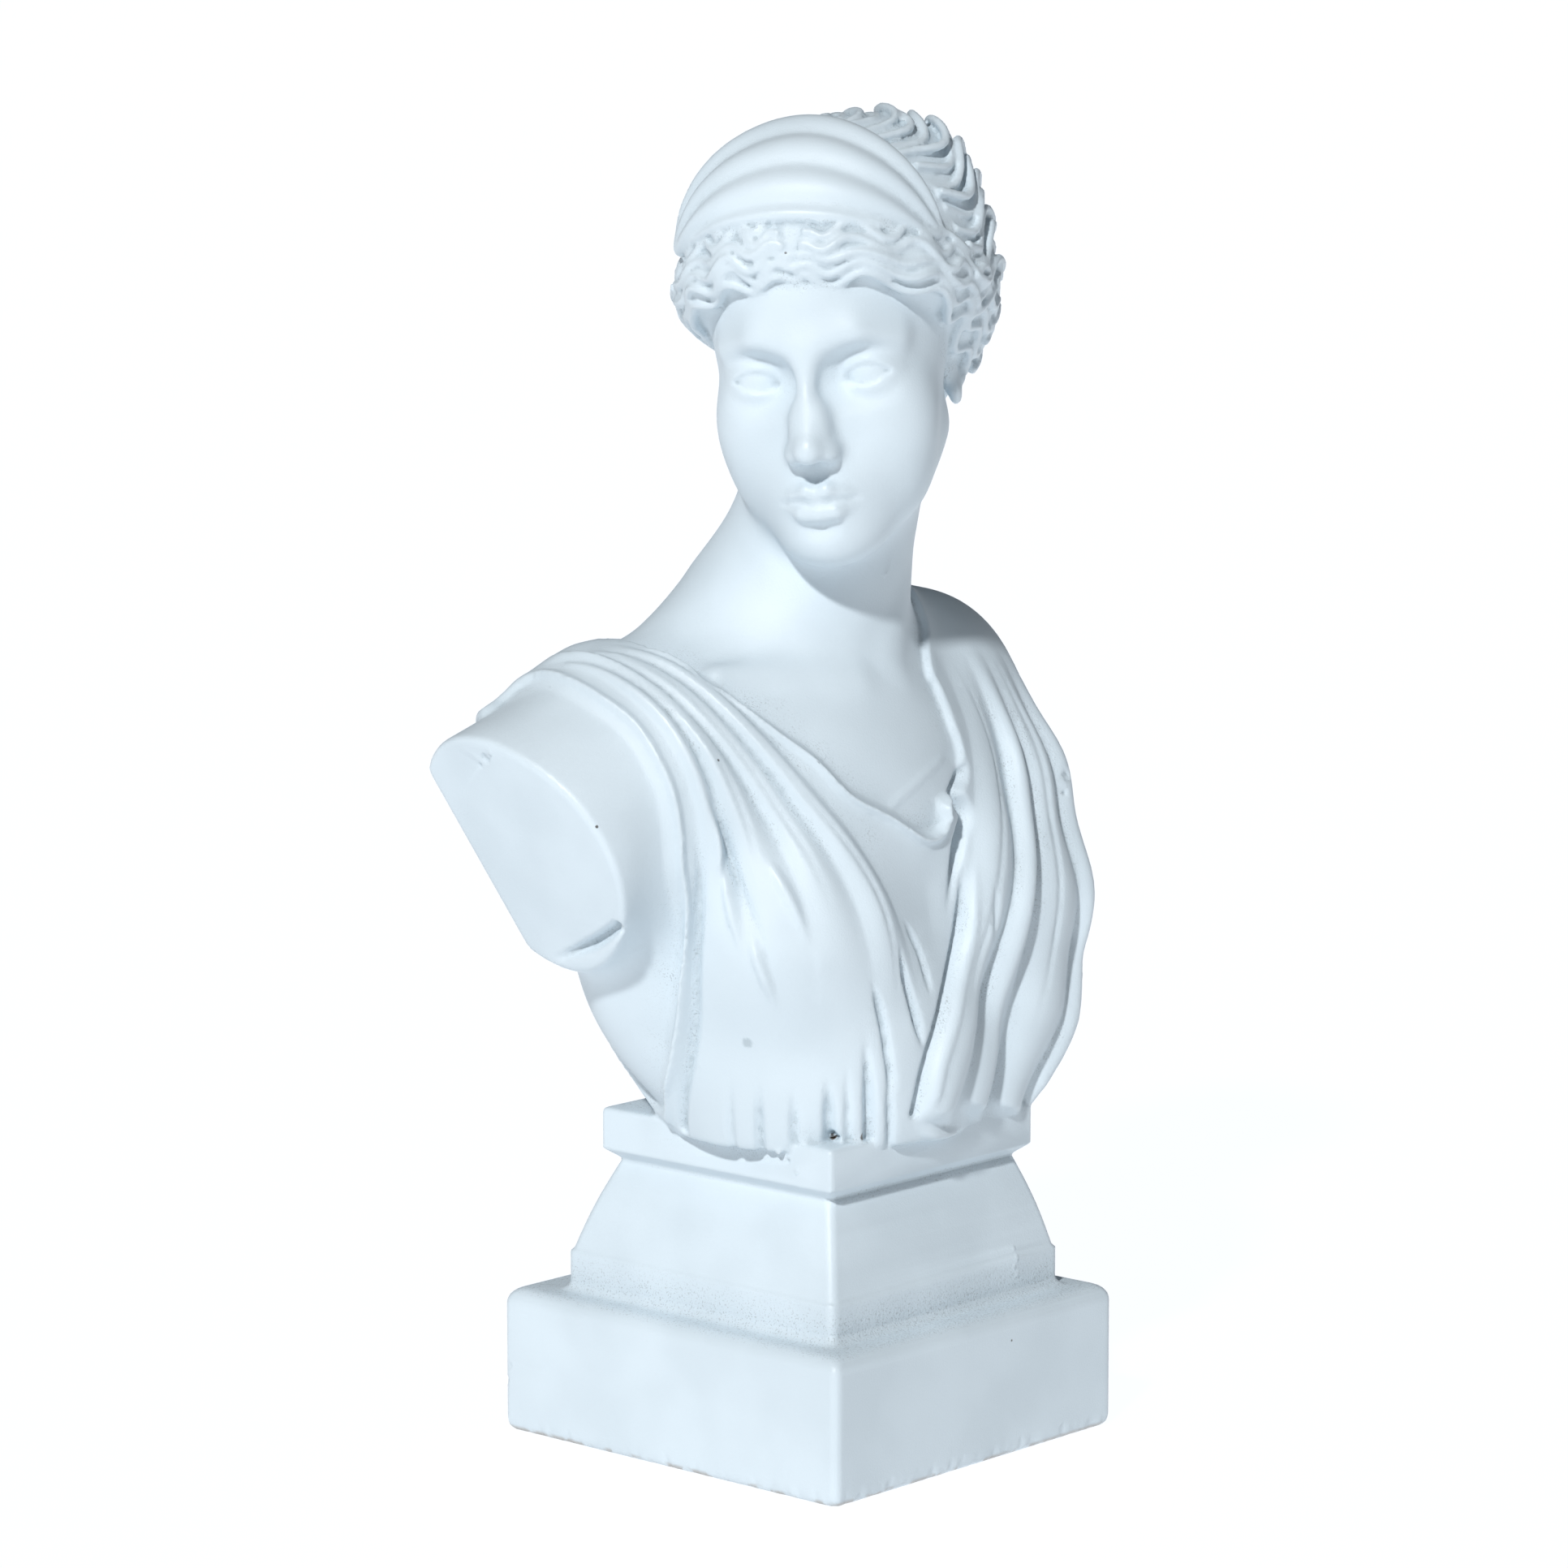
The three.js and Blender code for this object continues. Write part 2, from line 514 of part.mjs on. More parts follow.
// Turns a form into a closed mesh: one vertex in each cell of a lattice that the skin crosses. The form
// is worked out in blocks, and a block that lies well clear of the skin takes one value throughout.
function skinOf(form, low, high, step) {
  const n = low.map((start, m) => Math.ceil((high[m] - start) / step) + 1);
  const stride = [1, n[0], n[0] * n[1]];
  const values = new Float32Array(n[0] * n[1] * n[2]);
  const at = (i, j, k) => i + n[0] * (j + n[1] * k);
  const valueAt = (i, j, k) => form(low[0] + i * step, low[1] + j * step, low[2] + k * step);
  const block = 5;
  const clear = block * step * 0.9 + 6;
  for (let k0 = 0; k0 < n[2]; k0 += block)
    for (let j0 = 0; j0 < n[1]; j0 += block)
      for (let i0 = 0; i0 < n[0]; i0 += block) {
        const middle = valueAt(i0 + block / 2, j0 + block / 2, k0 + block / 2);
        for (let k = k0; k < Math.min(k0 + block, n[2]); k++)
          for (let j = j0; j < Math.min(j0 + block, n[1]); j++)
            for (let i = i0; i < Math.min(i0 + block, n[0]); i++)
              values[at(i, j, k)] = Math.abs(middle) > clear ? middle : valueAt(i, j, k);
      }

  const edges = [];
  for (let a = 0; a < 8; a++)
    for (const bit of [1, 2, 4]) if (!(a & bit)) edges.push([a, a | bit]);
  const offset = (corner) => stride.reduce((sum, value, m) => sum + ((corner >> m) & 1) * value, 0);
  const vertexOf = new Map();
  const positions = [];
  for (let k = 0; k < n[2] - 1; k++)
    for (let j = 0; j < n[1] - 1; j++)
      for (let i = 0; i < n[0] - 1; i++) {
        const here = at(i, j, k);
        const sum = [0, 0, 0];
        let crossings = 0;
        for (const [a, b] of edges) {
          const va = values[here + offset(a)];
          const vb = values[here + offset(b)];
          if (va < 0 === vb < 0) continue;
          const t = va / (va - vb);
          for (let m = 0; m < 3; m++) sum[m] += mix((a >> m) & 1, (b >> m) & 1, t);
          crossings++;
        }
        if (!crossings) continue;
        vertexOf.set(here, positions.length);
        positions.push([i, j, k].map((c, m) => low[m] + (c + sum[m] / crossings) * step));
      }

  const triangles = [];
  for (let k = 1; k < n[2] - 1; k++)
    for (let j = 1; j < n[1] - 1; j++)
      for (let i = 1; i < n[0] - 1; i++) {
        const here = at(i, j, k);
        const inside = values[here] < 0;
        for (let axis = 0; axis < 3; axis++) {
          if (inside === values[here + stride[axis]] < 0) continue;
          const u = stride[(axis + 1) % 3];
          const v = stride[(axis + 2) % 3];
          const [a, b, c, d] = [here - u - v, here - v, here, here - u].map((cell) => vertexOf.get(cell));
          triangles.push(...(inside ? [[a, b, c], [a, c, d]] : [[c, b, a], [d, c, a]]));
        }
      }
  return { positions, triangles };
}

// Keeps the outer skin alone, without closed hollows inside it.
function outerSkin({ positions, triangles }) {
  const group = positions.map((p, v) => v);
  const rootOf = (v) => {
    while (group[v] !== v) v = group[v] = group[group[v]];
    return v;
  };
  for (const [a, b, c] of triangles) {
    group[rootOf(a)] = rootOf(b);
    group[rootOf(b)] = rootOf(c);
  }
  const crown = positions.reduce((high, p, v) => (p[2] > positions[high][2] ? v : high), 0);
  return { positions, triangles: triangles.filter(([v]) => rootOf(v) === rootOf(crown)) };
}

// Thins a closed mesh to a number of triangles. It folds up, one after another, the edges whose loss
// moves the skin least, and never one that would pinch the mesh or turn a triangle over.
function thin({ positions, triangles }, budget) {
  const facesOf = positions.map(() => new Set());
  triangles.forEach((t, f) => t.forEach((v) => facesOf[v].add(f)));
  const alive = new Uint8Array(triangles.length).fill(1);
  const changes = new Uint32Array(positions.length);
  const normalOf = (a, b, c) => {
    const ux = b[0] - a[0];
    const uy = b[1] - a[1];
    const uz = b[2] - a[2];
    const vx = c[0] - a[0];
    const vy = c[1] - a[1];
    const vz = c[2] - a[2];
    return [uy * vz - uz * vy, uz * vx - ux * vz, ux * vy - uy * vx];
  };

  // Sum of squared distances from the planes of the triangles round a vertex
  const quadrics = positions.map(() => new Float64Array(10));
  for (const t of triangles) {
    const [a, b, c] = t.map((v) => positions[v]);
    const n = normalOf(a, b, c);
    const area = Math.hypot(...n) + 1e-12;
    const [x, y, z] = n.map((value) => value / area);
    const w = -(x * a[0] + y * a[1] + z * a[2]);
    const terms = [x * x, x * y, x * z, x * w, y * y, y * z, y * w, z * z, z * w, w * w];
    for (const v of t) terms.forEach((term, i) => (quadrics[v][i] += term * area));
  }
  const costAt = (q, [x, y, z]) =>
    q[0] * x * x + 2 * q[1] * x * y + 2 * q[2] * x * z + 2 * q[3] * x + q[4] * y * y + 2 * q[5] * y * z +
    2 * q[6] * y + q[7] * z * z + 2 * q[8] * z + q[9];
  function planned(a, b) {
    const q = quadrics[a].map((value, i) => value + quadrics[b][i]);
    const middle = positions[a].map((value, m) => (value + positions[b][m]) / 2);
    const matrix = new THREE.Matrix3().set(q[0], q[1], q[2], q[1], q[4], q[5], q[2], q[5], q[7]);
    const scale = q[0] + q[4] + q[7];
    const choices = [middle, positions[a], positions[b]];
    if (matrix.determinant() > 1e-4 * scale ** 3) {
      const best = new THREE.Vector3(-q[3], -q[6], -q[8]).applyMatrix3(matrix.invert()).toArray();
      const length = Math.hypot(...positions[a].map((value, m) => value - positions[b][m]));
      if (Math.hypot(...best.map((value, m) => value - middle[m])) < 1.5 * length) choices.unshift(best);
    }
    const costs = choices.map((place) => costAt(q, place));
    const pick = costs.indexOf(Math.min(...costs));
    return { a, b, q, place: choices[pick], cost: costs[pick], stamp: changes[a] + changes[b] };
  }

  // A heap keeps the cheapest fold on top.
  const heap = [];
  const swap = (i, j) => ([heap[i], heap[j]] = [heap[j], heap[i]]);
  function put(item) {
    let i = heap.push(item) - 1;
    for (; i > 0 && heap[(i - 1) >> 1].cost > heap[i].cost; i = (i - 1) >> 1) swap(i, (i - 1) >> 1);
  }
  function take() {
    const top = heap[0];
    const last = heap.pop();
    if (heap.length) heap[0] = last;
    for (let i = 0; ; ) {
      let least = i;
      for (const child of [2 * i + 1, 2 * i + 2])
        if (child < heap.length && heap[child].cost < heap[least].cost) least = child;
      if (least === i) break;
      swap(i, least);
      i = least;
    }
    return top;
  }

  const neighboursOf = (v) => {
    const found = new Set();
    for (const f of facesOf[v]) for (const other of triangles[f]) if (other !== v) found.add(other);
    return found;
  };
  const turnsOver = (v, other, place) => {
    for (const f of facesOf[v]) {
      const t = triangles[f];
      if (t.includes(other)) continue;
      const before = normalOf(...t.map((c) => positions[c]));
      const after = normalOf(...t.map((c) => (c === v ? place : positions[c])));
      const dot = before[0] * after[0] + before[1] * after[1] + before[2] * after[2];
      if (dot < 0.25 * Math.hypot(...before) * Math.hypot(...after)) return true;
    }
    return false;
  };
  for (const [a, b, c] of triangles)
    for (const [u, v] of [[a, b], [b, c], [c, a]]) if (u < v) put(planned(u, v));
  let left = triangles.length;
  while (left > budget && heap.length) {
    const { a, b, q, place, stamp } = take();
    if (!facesOf[a].size || !facesOf[b].size || stamp !== changes[a] + changes[b]) continue;
    const around = neighboursOf(b);
    if ([...neighboursOf(a)].filter((v) => around.has(v)).length !== 2) continue;
    if (turnsOver(a, b, place) || turnsOver(b, a, place)) continue;
    positions[a] = place;
    quadrics[a] = q;
    for (const f of facesOf[b]) {
      if (triangles[f].includes(a)) {
        alive[f] = 0;
        left--;
        triangles[f].forEach((v) => v !== b && facesOf[v].delete(f));
      } else {
        triangles[f] = triangles[f].map((v) => (v === b ? a : v));
        facesOf[a].add(f);
      }
    }
    facesOf[b].clear();
    changes[a]++;
    const near = neighboursOf(a);
    near.forEach((v) => put(planned(a, v)));
  }
  return { positions, triangles: triangles.filter((t, f) => alive[f]) };
}

// Plinth: rings with rounded corners, stacked and closed at both ends
function plinthSkin() {
  const cornerSteps = 3;
  const rings = [];
  const ring = (width, depth, z, round = cornerRadius) => rings.push({ width, depth, z, round });
  ring(baseWidth - 2 * baseWear, baseDepth - 2 * baseWear, 0);
  ring(baseWidth - 0.6 * baseWear, baseDepth - 0.6 * baseWear, baseWear * 0.7);
  ring(baseWidth, baseDepth, baseWear * 2);
  for (let i = 0; i <= 4; i++) {
    const a = (i / 4) * 90 * degrees;
    const inset = 2 * baseEdgeRadius * (1 - Math.cos(a));
    ring(baseWidth - inset, baseDepth - inset, baseHeight - baseEdgeRadius * (1 - Math.sin(a)));
  }
  const footTop = baseHeight + footHeight;
  ring(footWidth, footDepth, baseHeight);
  ring(footWidth, footDepth, footTop);
  const flareSteps = 6;
  for (let i = 0; i <= flareSteps; i++) {
    const t = i / flareSteps;
    const swell = 2 * flareSwell * Math.sin(Math.PI * t) - (1 - t);
    const width = mix(footWidth, neckWidth, t) + swell;
    const depth = mix(footDepth, neckDepth, t) + swell;
    ring(width, depth, footTop + flareHeight * t);
  }
  const capWidth = neckWidth + 2 * capOverhang;
  const capDepth = neckDepth + 2 * capOverhang;
  ring(capWidth, capDepth, footTop + flareHeight + capLip, capEdgeRadius);
  ring(capWidth, capDepth, plinthHeight - capEdgeRadius, capEdgeRadius);
  const inset = capEdgeRadius * 0.6;
  ring(capWidth - inset, capDepth - inset, plinthHeight - capEdgeRadius * 0.3, capEdgeRadius);
  ring(capWidth - capEdgeRadius * 2, capDepth - capEdgeRadius * 2, plinthHeight, capEdgeRadius);

  const positions = [];
  const triangles = [];
  const count = 4 * (cornerSteps + 1);
  for (const { width, depth, z, round } of rings)
    for (let i = 0; i < count; i++) {
      const quarter = Math.floor(i / (cornerSteps + 1));
      const a = (quarter + (i % (cornerSteps + 1)) / cornerSteps) * 90 * degrees;
      const middle = (quarter + 0.5) * 90 * degrees;
      const x = Math.sign(Math.cos(middle)) * (width / 2 - round) + round * Math.cos(a);
      const y = Math.sign(Math.sin(middle)) * (depth / 2 - round) + round * Math.sin(a);
      positions.push([x, y + (depth - width) / 2, z]);
    }
  for (let row = 0; row < rings.length - 1; row++)
    for (let i = 0; i < count; i++) {
      const [a, b] = [row * count + i, row * count + ((i + 1) % count)];
      triangles.push([a, b, b + count], [a, b + count, a + count]);
    }
  const top = positions.length - count;
  for (let i = 1; i < count - 1; i++) triangles.push([0, i + 1, i], [top, top + i, top + i + 1]);
  return { positions, triangles };
}

// One closed body
const solids = await Module();
solids.setup();
const solidOf = ({ positions, triangles }) =>
  new solids.Manifold(
    new solids.Mesh({
      numProp: 3,
      vertProperties: new Float32Array(positions.flat()),
      triVerts: new Uint32Array(triangles.flat()),
    }),
  );

// Where two folds of the skin touch along a point or an edge, each is drawn back to its own side.
function parted(solid) {
  const { vertProperties: flat, triVerts } = solid.getMesh();
  const threes = (a) => Array.from({ length: a.length / 3 }, (_, i) => [...a.slice(3 * i, 3 * i + 3)]);
  const positions = threes(flat);
  const triangles = threes(triVerts);
  const together = new Map();
  positions.forEach((place, v) => {
    const key = place.map((value) => value.toFixed(4)).join();
    together.set(key, [...(together.get(key) ?? []), v]);
  });
  const touching = new Set([...together.values()].filter((group) => group.length > 1).flat());
  const sums = new Map([...touching].map((v) => [v, [0, 0, 0, 0]]));
  for (const t of triangles)
    for (const v of t) {
      const sum = sums.get(v);
      if (!sum) continue;
      for (const other of t)
        if (other !== v) [...positions[other], 1].forEach((value, m) => (sum[m] += value));
    }
  sums.forEach((sum, v) => {
    positions[v] = positions[v].map((value, m) => mix(value, sum[m] / sum[3], 0.15));
  });
  return { positions, triangles };
}

const latticeBox = [[-92, -62, -8], [84, 74, 232]];
const figure = thin(skinOf(figureForm(), ...latticeBox, sampleStep / part), faceBudget);
figure.positions = figure.positions.map(([x, y, z]) => [x * part, y * part, z * part + plinthHeight]);
const toMiddle = [0, (baseWidth - baseDepth) / 2, 0];
const cast = solidOf(outerSkin(parted(solidOf(figure))));
const whole = solidOf(plinthSkin()).add(cast).translate(toMiddle).getMesh();

const geometry = new THREE.BufferGeometry();
geometry.setAttribute("position", new THREE.BufferAttribute(whole.vertProperties, whole.numProp));
geometry.setIndex(new THREE.BufferAttribute(whole.triVerts, 1));
geometry.computeVertexNormals();
const plaster = new THREE.MeshStandardMaterial({ color: 0xe6edf2, roughness: 0.6, metalness: 0 });
const bust = new THREE.Mesh(geometry, plaster);
bust.name = "bust";

const statue = new THREE.Group();
statue.name = "draped_bust";
statue.add(bust);
export default statue;
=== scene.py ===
# A small draped bust in the classical manner, cast in plaster in one piece with its moulded plinth.
# The figure is shaped in parts of its height, as the CAD solid is, and becomes metres when its mesh is made.
import math
from concurrent.futures import ThreadPoolExecutor
import bmesh
import bpy
import numpy as np
from mathutils import Matrix, Vector


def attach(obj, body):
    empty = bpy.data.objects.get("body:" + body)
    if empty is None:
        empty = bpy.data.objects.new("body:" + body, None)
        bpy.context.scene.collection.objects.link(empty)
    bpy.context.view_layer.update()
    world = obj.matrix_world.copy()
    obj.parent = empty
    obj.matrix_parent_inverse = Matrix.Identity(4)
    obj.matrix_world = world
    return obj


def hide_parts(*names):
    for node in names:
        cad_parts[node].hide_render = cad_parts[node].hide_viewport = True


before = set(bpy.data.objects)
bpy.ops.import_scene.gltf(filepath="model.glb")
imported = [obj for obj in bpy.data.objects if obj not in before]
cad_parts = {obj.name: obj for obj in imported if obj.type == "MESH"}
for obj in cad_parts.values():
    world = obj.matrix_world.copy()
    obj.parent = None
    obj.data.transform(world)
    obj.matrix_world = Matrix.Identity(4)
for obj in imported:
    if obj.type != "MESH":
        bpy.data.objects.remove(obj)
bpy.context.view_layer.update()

view = {  # the photograph's camera: angles in degrees, lengths in millimetres
    "azimuth": -48.3,
    "elevation": 8.65,
    "distance": 1277,
    "target": (0, -3, 150),
    "focalPixels": 7025,
    "imageSize": 1932,
    "shiftPixels": (-42.2, -7.8),
    "sensorWidth": 36,
    "sightStart": 130,  # in front of the target, clear of the figure
}

plinth = {  # millimetres; each course is a little deeper than it is wide
    "baseWidth": 95, "baseDepth": 101, "baseHeight": 33, "baseEdgeRadius": 3.5, "baseWear": 1.2,
    "cornerRadius": 2,
    "footWidth": 77.5, "footDepth": 80.5, "footHeight": 9, "footFillet": 2.2,
    "neckWidth": 63, "neckDepth": 63.6, "flareHeight": 21.5, "flareSwell": 0.5,
    "capOverhang": 2.9, "capLip": 2.4, "capHeight": 9.4, "capEdgeRadius": 1,
}
plinthHeight = sum(plinth[k] for k in ("baseHeight", "footHeight", "flareHeight", "capLip", "capHeight"))

figure = {  # millimetres and degrees
    "height": 224.7,
    "canonParts": 225,
    "sink": 1.8,
    "clothThickness": 2,
    "hemRoll": 1.6,
    "foldDepth": 2.8,
    "bandRidge": 1.5,
    "hairBed": 0.9,  # the mass lies this far down, and the locks bring it out again
    "headTurn": -60,
    "headBow": 8,
    "headLean": -5.5,
    "headAt": (2.4, -3.2, 170.5),
    "step": 0.65,  # parts: the lattice that the skin is worked out on
    "lowest": (-92, -62, -8),  # parts: the space that the lattice fills
    "highest": (84, 74, 232),
}
part = figure["height"] / figure["canonParts"]
toMiddle = (plinth["baseWidth"] - plinth["baseDepth"]) / 2  # the courses line up in front


# Rounded forms: each gives the distance of points from its skin, below zero inside it.
def ellipsoid(centre, radii):
    (cx, cy, cz), (rx, ry, rz) = centre, radii

    def form(x, y, z):
        dx, dy, dz = (x - cx) / rx, (y - cy) / ry, (z - cz) / rz
        inner = np.sqrt(dx * dx + dy * dy + dz * dz)
        slope = np.sqrt((dx / rx) ** 2 + (dy / ry) ** 2 + (dz / rz) ** 2)
        return inner * (inner - 1) / (slope + 1e-9)
    return form


def limb(start, end, startRadius, endRadius):
    ax, ay, az = start
    ux, uy, uz = (e - s for s, e in zip(start, end))
    lengthSquared = ux * ux + uy * uy + uz * uz

    def form(x, y, z):
        px, py, pz = x - ax, y - ay, z - az
        t = np.clip((px * ux + py * uy + pz * uz) / lengthSquared, 0, 1)
        px, py, pz = px - ux * t, py - uy * t, pz - uz * t
        return np.sqrt(px * px + py * py + pz * pz) - (startRadius + (endRadius - startRadius) * t)
    return form


def halfSpace(point, normal):
    nx, ny, nz = np.array(normal) / np.linalg.norm(normal)
    return lambda x, y, z: (x - point[0]) * nx + (y - point[1]) * ny + (z - point[2]) * nz


def join2(a, b, seam):
    h = np.maximum(seam - np.abs(a - b), 0) / seam
    return np.minimum(a, b) - h * h * seam * 0.25


def join(seam, *forms):
    def form(x, y, z):
        d = forms[0](x, y, z)
        for other in forms[1:]:
            d = join2(d, other(x, y, z), seam)
        return d
    return form


def cut(seam, form, tool):
    return lambda x, y, z: -join2(-form(x, y, z), tool(x, y, z), seam)


def chain(seam, stations):
    return join(seam, *(limb(a[:3], b[:3], a[3], b[3]) for a, b in zip(stations, stations[1:])))


def bothSides(form):
    return lambda x, y, z: form(np.abs(x), y, z)


def ease(low, high, value):
    t = np.clip((value - low) / (high - low), 0, 1)
    return t * t * (3 - 2 * t)


def slopeOf(form, p, gap=0.2):
    g = np.stack([
        form(*(p + np.eye(3)[m] * gap).T) - form(*(p - np.eye(3)[m] * gap).T) for m in range(3)
    ], axis=1)
    return g / (np.linalg.norm(g, axis=1, keepdims=True) + 1e-9)


def settle(form, p):
    for _ in range(6):
        p = p - slopeOf(form, p) * form(*p.T)[:, None]
    return p


# Neck, shoulders and chest
def nakedBody():
    chest = join(
        16,
        ellipsoid((0, 6, 66), (50, 36, 44)),
        ellipsoid((-1, -2, 16), (36.5, 34, 42)),
        ellipsoid((-9.5, -9.5, 13), (27.5, 22.5, 33)),
        ellipsoid((-26, 17, 47), (27, 24, 40)),
        ellipsoid((33, 4, 38), (22.5, 26, 39)),
    )
    breasts = bothSides(ellipsoid((25, -16, 44), (20, 17, 22)))
    shoulders = join(
        10,
        limb((-42, 17, 78), (-95, 24, 47), 25, 27),
        limb((-44, 26, 83), (-95, 35, 62.5), 18, 19.8),
        ellipsoid((46, 10, 74), (24, 24, 36)),
        limb((-6, 18, 107.2), (-52, 24, 85), 16.6, 10),
        limb((8, 16, 114), (40, 10, 86), 16, 18),
    )
    neck = limb((2, 9, 100), (6, 0.5, 142), 22, 20)
    strapMuscle = limb((22, 0, 134), (4, -14, 101), 5, 3.5)
    collarBones = join(
        3,
        limb((-6, -14, 97), (-34, -1, 101), 3.6, 2),
        limb((6, -14, 97), (30, -4, 99), 3.6, 2),
    )
    body = join(14, chest, shoulders, neck)
    return join(5, join(12, body, breasts), strapMuscle, collarBones)


armCut = halfSpace((-72, 24, 68), (-1, 0.05, -0.4))
armBack = halfSpace((-57.5, 64.5, 78), (-0.6365, 0.606, -0.477))
mantle = chain(10, [
    (20, 16, 101, 14), (37.5, 5, 89, 15), (45.5, -7, 66, 15.5),
    (44.5, -14, 44, 16.1), (36, -18, 21, 15.2), (25.5, -20, 2, 13),
])
draped = join(9, nakedBody(), mantle)


# Skull and face in the head's own axes: x to its left, -y to its face, z to its crown. The head is 84
# parts from chin to crown, the eyes lie half way up, and the mouth a third of the way from nose to chin.
def faceForm():
    skull = ellipsoid((0, 4, 13), (27.5, 35.5, 30))
    mask = ellipsoid((0, -8, -8), (23.8, 24.5, 33))
    jaw = bothSides(limb((16, 0, -18), (6, -22, -33), 6, 7))
    chin = ellipsoid((0, -28, -35.2), (8.6, 7.4, 6.8))
    cheeks = bothSides(ellipsoid((13.5, -18.5, -11), (10, 9.5, 11)))
    lowerCheeks = bothSides(ellipsoid((11, -18, -21), (10, 9.5, 12)))
    muzzle = ellipsoid((0, -26.3, -24.5), (11.5, 9, 10.5))
    head = join(7, skull, mask, jaw, chin, cheeks, lowerCheeks, muzzle)
    brows = bothSides(chain(3, [(2.5, -29.6, 7, 1.7), (11, -28.3, 9, 1.3), (18.5, -22, 7, 0.8)]))
    socketed = cut(5, join(7, head, brows), bothSides(ellipsoid((12.2, -33.6, 0.4), (9.4, 8.2, 6.2))))
    nose = join(
        2.5,
        chain(1.5, [(0, -30.4, 7, 1.9), (0, -34.4, -3, 1.9), (0, -38.6, -12, 2.4)]),
        ellipsoid((0, -39.4, -13.8), (3.1, 3.2, 2.9)),
        bothSides(ellipsoid((3.8, -35.2, -15), (2.3, 3.5, 2.4))),
        bothSides(ellipsoid((2.3, -34.3, -10), (2.5, 3.8, 6))),
    )
    nostrils = bothSides(ellipsoid((2, -37.4, -18.4), (1.1, 1.9, 1.4)))
    upperLip = chain(0.6, [
        (0, -36.1, -24, 1.6), (2.2, -36, -23.2, 1.8), (5.2, -34.4, -24.2, 1.4), (8.4, -32, -25.5, 0.7),
    ])
    lowerLip = chain(0.6, [(0, -35.9, -28.1, 2.3), (3.4, -35.3, -27.9, 2.2), (7.6, -32.3, -26.4, 0.8)])
    slit = bothSides(chain(0.3, [
        (0, -38.5, -25.7, 0.6), (4.5, -36.6, -25.5, 0.55), (8.5, -33.2, -25.9, 0.4),
    ]))
    underLip = ellipsoid((0, -38.6, -32), (5.5, 3, 1.8))
    philtrum = limb((0, -39.4, -18), (0, -38.6, -22), 1, 1.1)
    ear = join(
        1.2,
        ellipsoid((23.2, 9, -6), (2.4, 5, 8)),
        chain(0.8, [
            (24.6, 5.2, -3, 1.2), (25.8, 8, 0.5, 1.4), (26.6, 12, -1, 1.5),
            (26.4, 13, -5, 1.4), (25, 9.5, -10.5, 1.3),
        ]),
        ellipsoid((24.3, 6.6, -12.6), (1.5, 2.5, 3)),
    )
    ear = bothSides(cut(1, ear, ellipsoid((26.6, 8.6, -5.4), (1.7, 2.5, 4.2))))
    centre, half = (12, -21.4, -0.6), 6
    eyeball = bothSides(ellipsoid(centre, (6.6, 6.6, 6.6)))
    lidSkin = bothSides(ellipsoid(centre, (7.7, 7.7, 7.7)))
    face = cut(2.5, cut(0.8, cut(1.6, join(3, socketed, nose), philtrum), nostrils), underLip)
    mouthed = cut(0.8, join(1.6, face, bothSides(upperLip), bothSides(lowerLip)), slit)

    def form(x, y, z):
        across = (np.abs(x) - centre[0]) / half
        arch = np.maximum(1 - across**2, -1)
        up = z - centre[2] - 0.5 * across
        opening = np.minimum(3.1 * arch - up, up + 1.8 * arch)
        lids = -join2(-lidSkin(x, y, z), -opening, 0.5)
        return join2(np.minimum(join2(mouthed(x, y, z), lids, 1.6), eyeball(x, y, z)), ear(x, y, z), 1.2)
    return form


# Hair: a full roll round the brow, a mass over the crown behind the band, and a knot at the back
hairMass = join(
    6,
    ellipsoid((0.5, 8, 18.5), (32.5, 35, 31.5)),
    join(4, ellipsoid((7, 17, 14.6), (28, 23, 34)), ellipsoid((13.8, 17, 31.4), (16.8, 18, 16.8))),
    bothSides(chain(1.5, [
        (0, -24.6, 26.6, 6.7), (7, -24.2, 26.1, 6.8), (14, -21.6, 24, 7.1), (20.5, -15.8, 20.4, 7.5),
        (25, -8, 17, 7.6), (27, 2, 13.5, 7.6), (26, 11, 10, 8), (22, 19, 5, 8),
    ])),
    bothSides(chain(1.5, [(0, -22.8, 31.3, 6.2), (10, -20.6, 29.6, 6.2), (20, -12.5, 24.5, 6)])),
    ellipsoid((0, 46, 16), (15, 13, 15)),
)


def hairlineAt(x, y):
    return -3 + 24 * np.cos(np.arctan2(x, 4 - y))


def hairForm(x, y, z):
    return -join2(-hairMass(x, y, z) - figure["hairBed"], (z - hairlineAt(x, y)) * 0.9, 3.5)


# Padded crescent band, deepest over the brow and narrowing to a point above each ear
def headBand(x, y, z):
    d = ellipsoid((-1.2, 4.4, 22.2), (37.2, 38, 32.8))(x, y, z)
    above = (z + 0.5 * y - 20.5 + 0.07 * x + 2.2 * (x / 30) ** 2) * 0.89
    before = -1.5 - 3.5 * (1 - np.cos(np.pi * np.minimum(np.abs(x) / 30, 1))) - y
    place = np.clip(above / (np.abs(above) + np.abs(before) + 0.01), 0, 1)
    ridges = figure["bandRidge"] * (np.sqrt(np.cos(place * np.pi * 3.5) ** 2 + 0.01) - 1)
    ridges = ridges * ease(2, 16, above + before)
    thinned = 3.2 * (1 - ease(2, 26, above + before))
    return -join2(join2(-d + ridges - thinned, above, 3), before, 2)


headPlace = (
    Matrix.Translation(figure["headAt"])
    @ Matrix.Rotation(math.radians(figure["headTurn"]), 4, "Z")
    @ Matrix.Rotation(math.radians(figure["headBow"]), 4, "X")
    @ Matrix.Rotation(math.radians(figure["headLean"]), 4, "Y")
)
fromHead = np.array(headPlace)
toHead = np.array(headPlace.inverted())
face = faceForm()


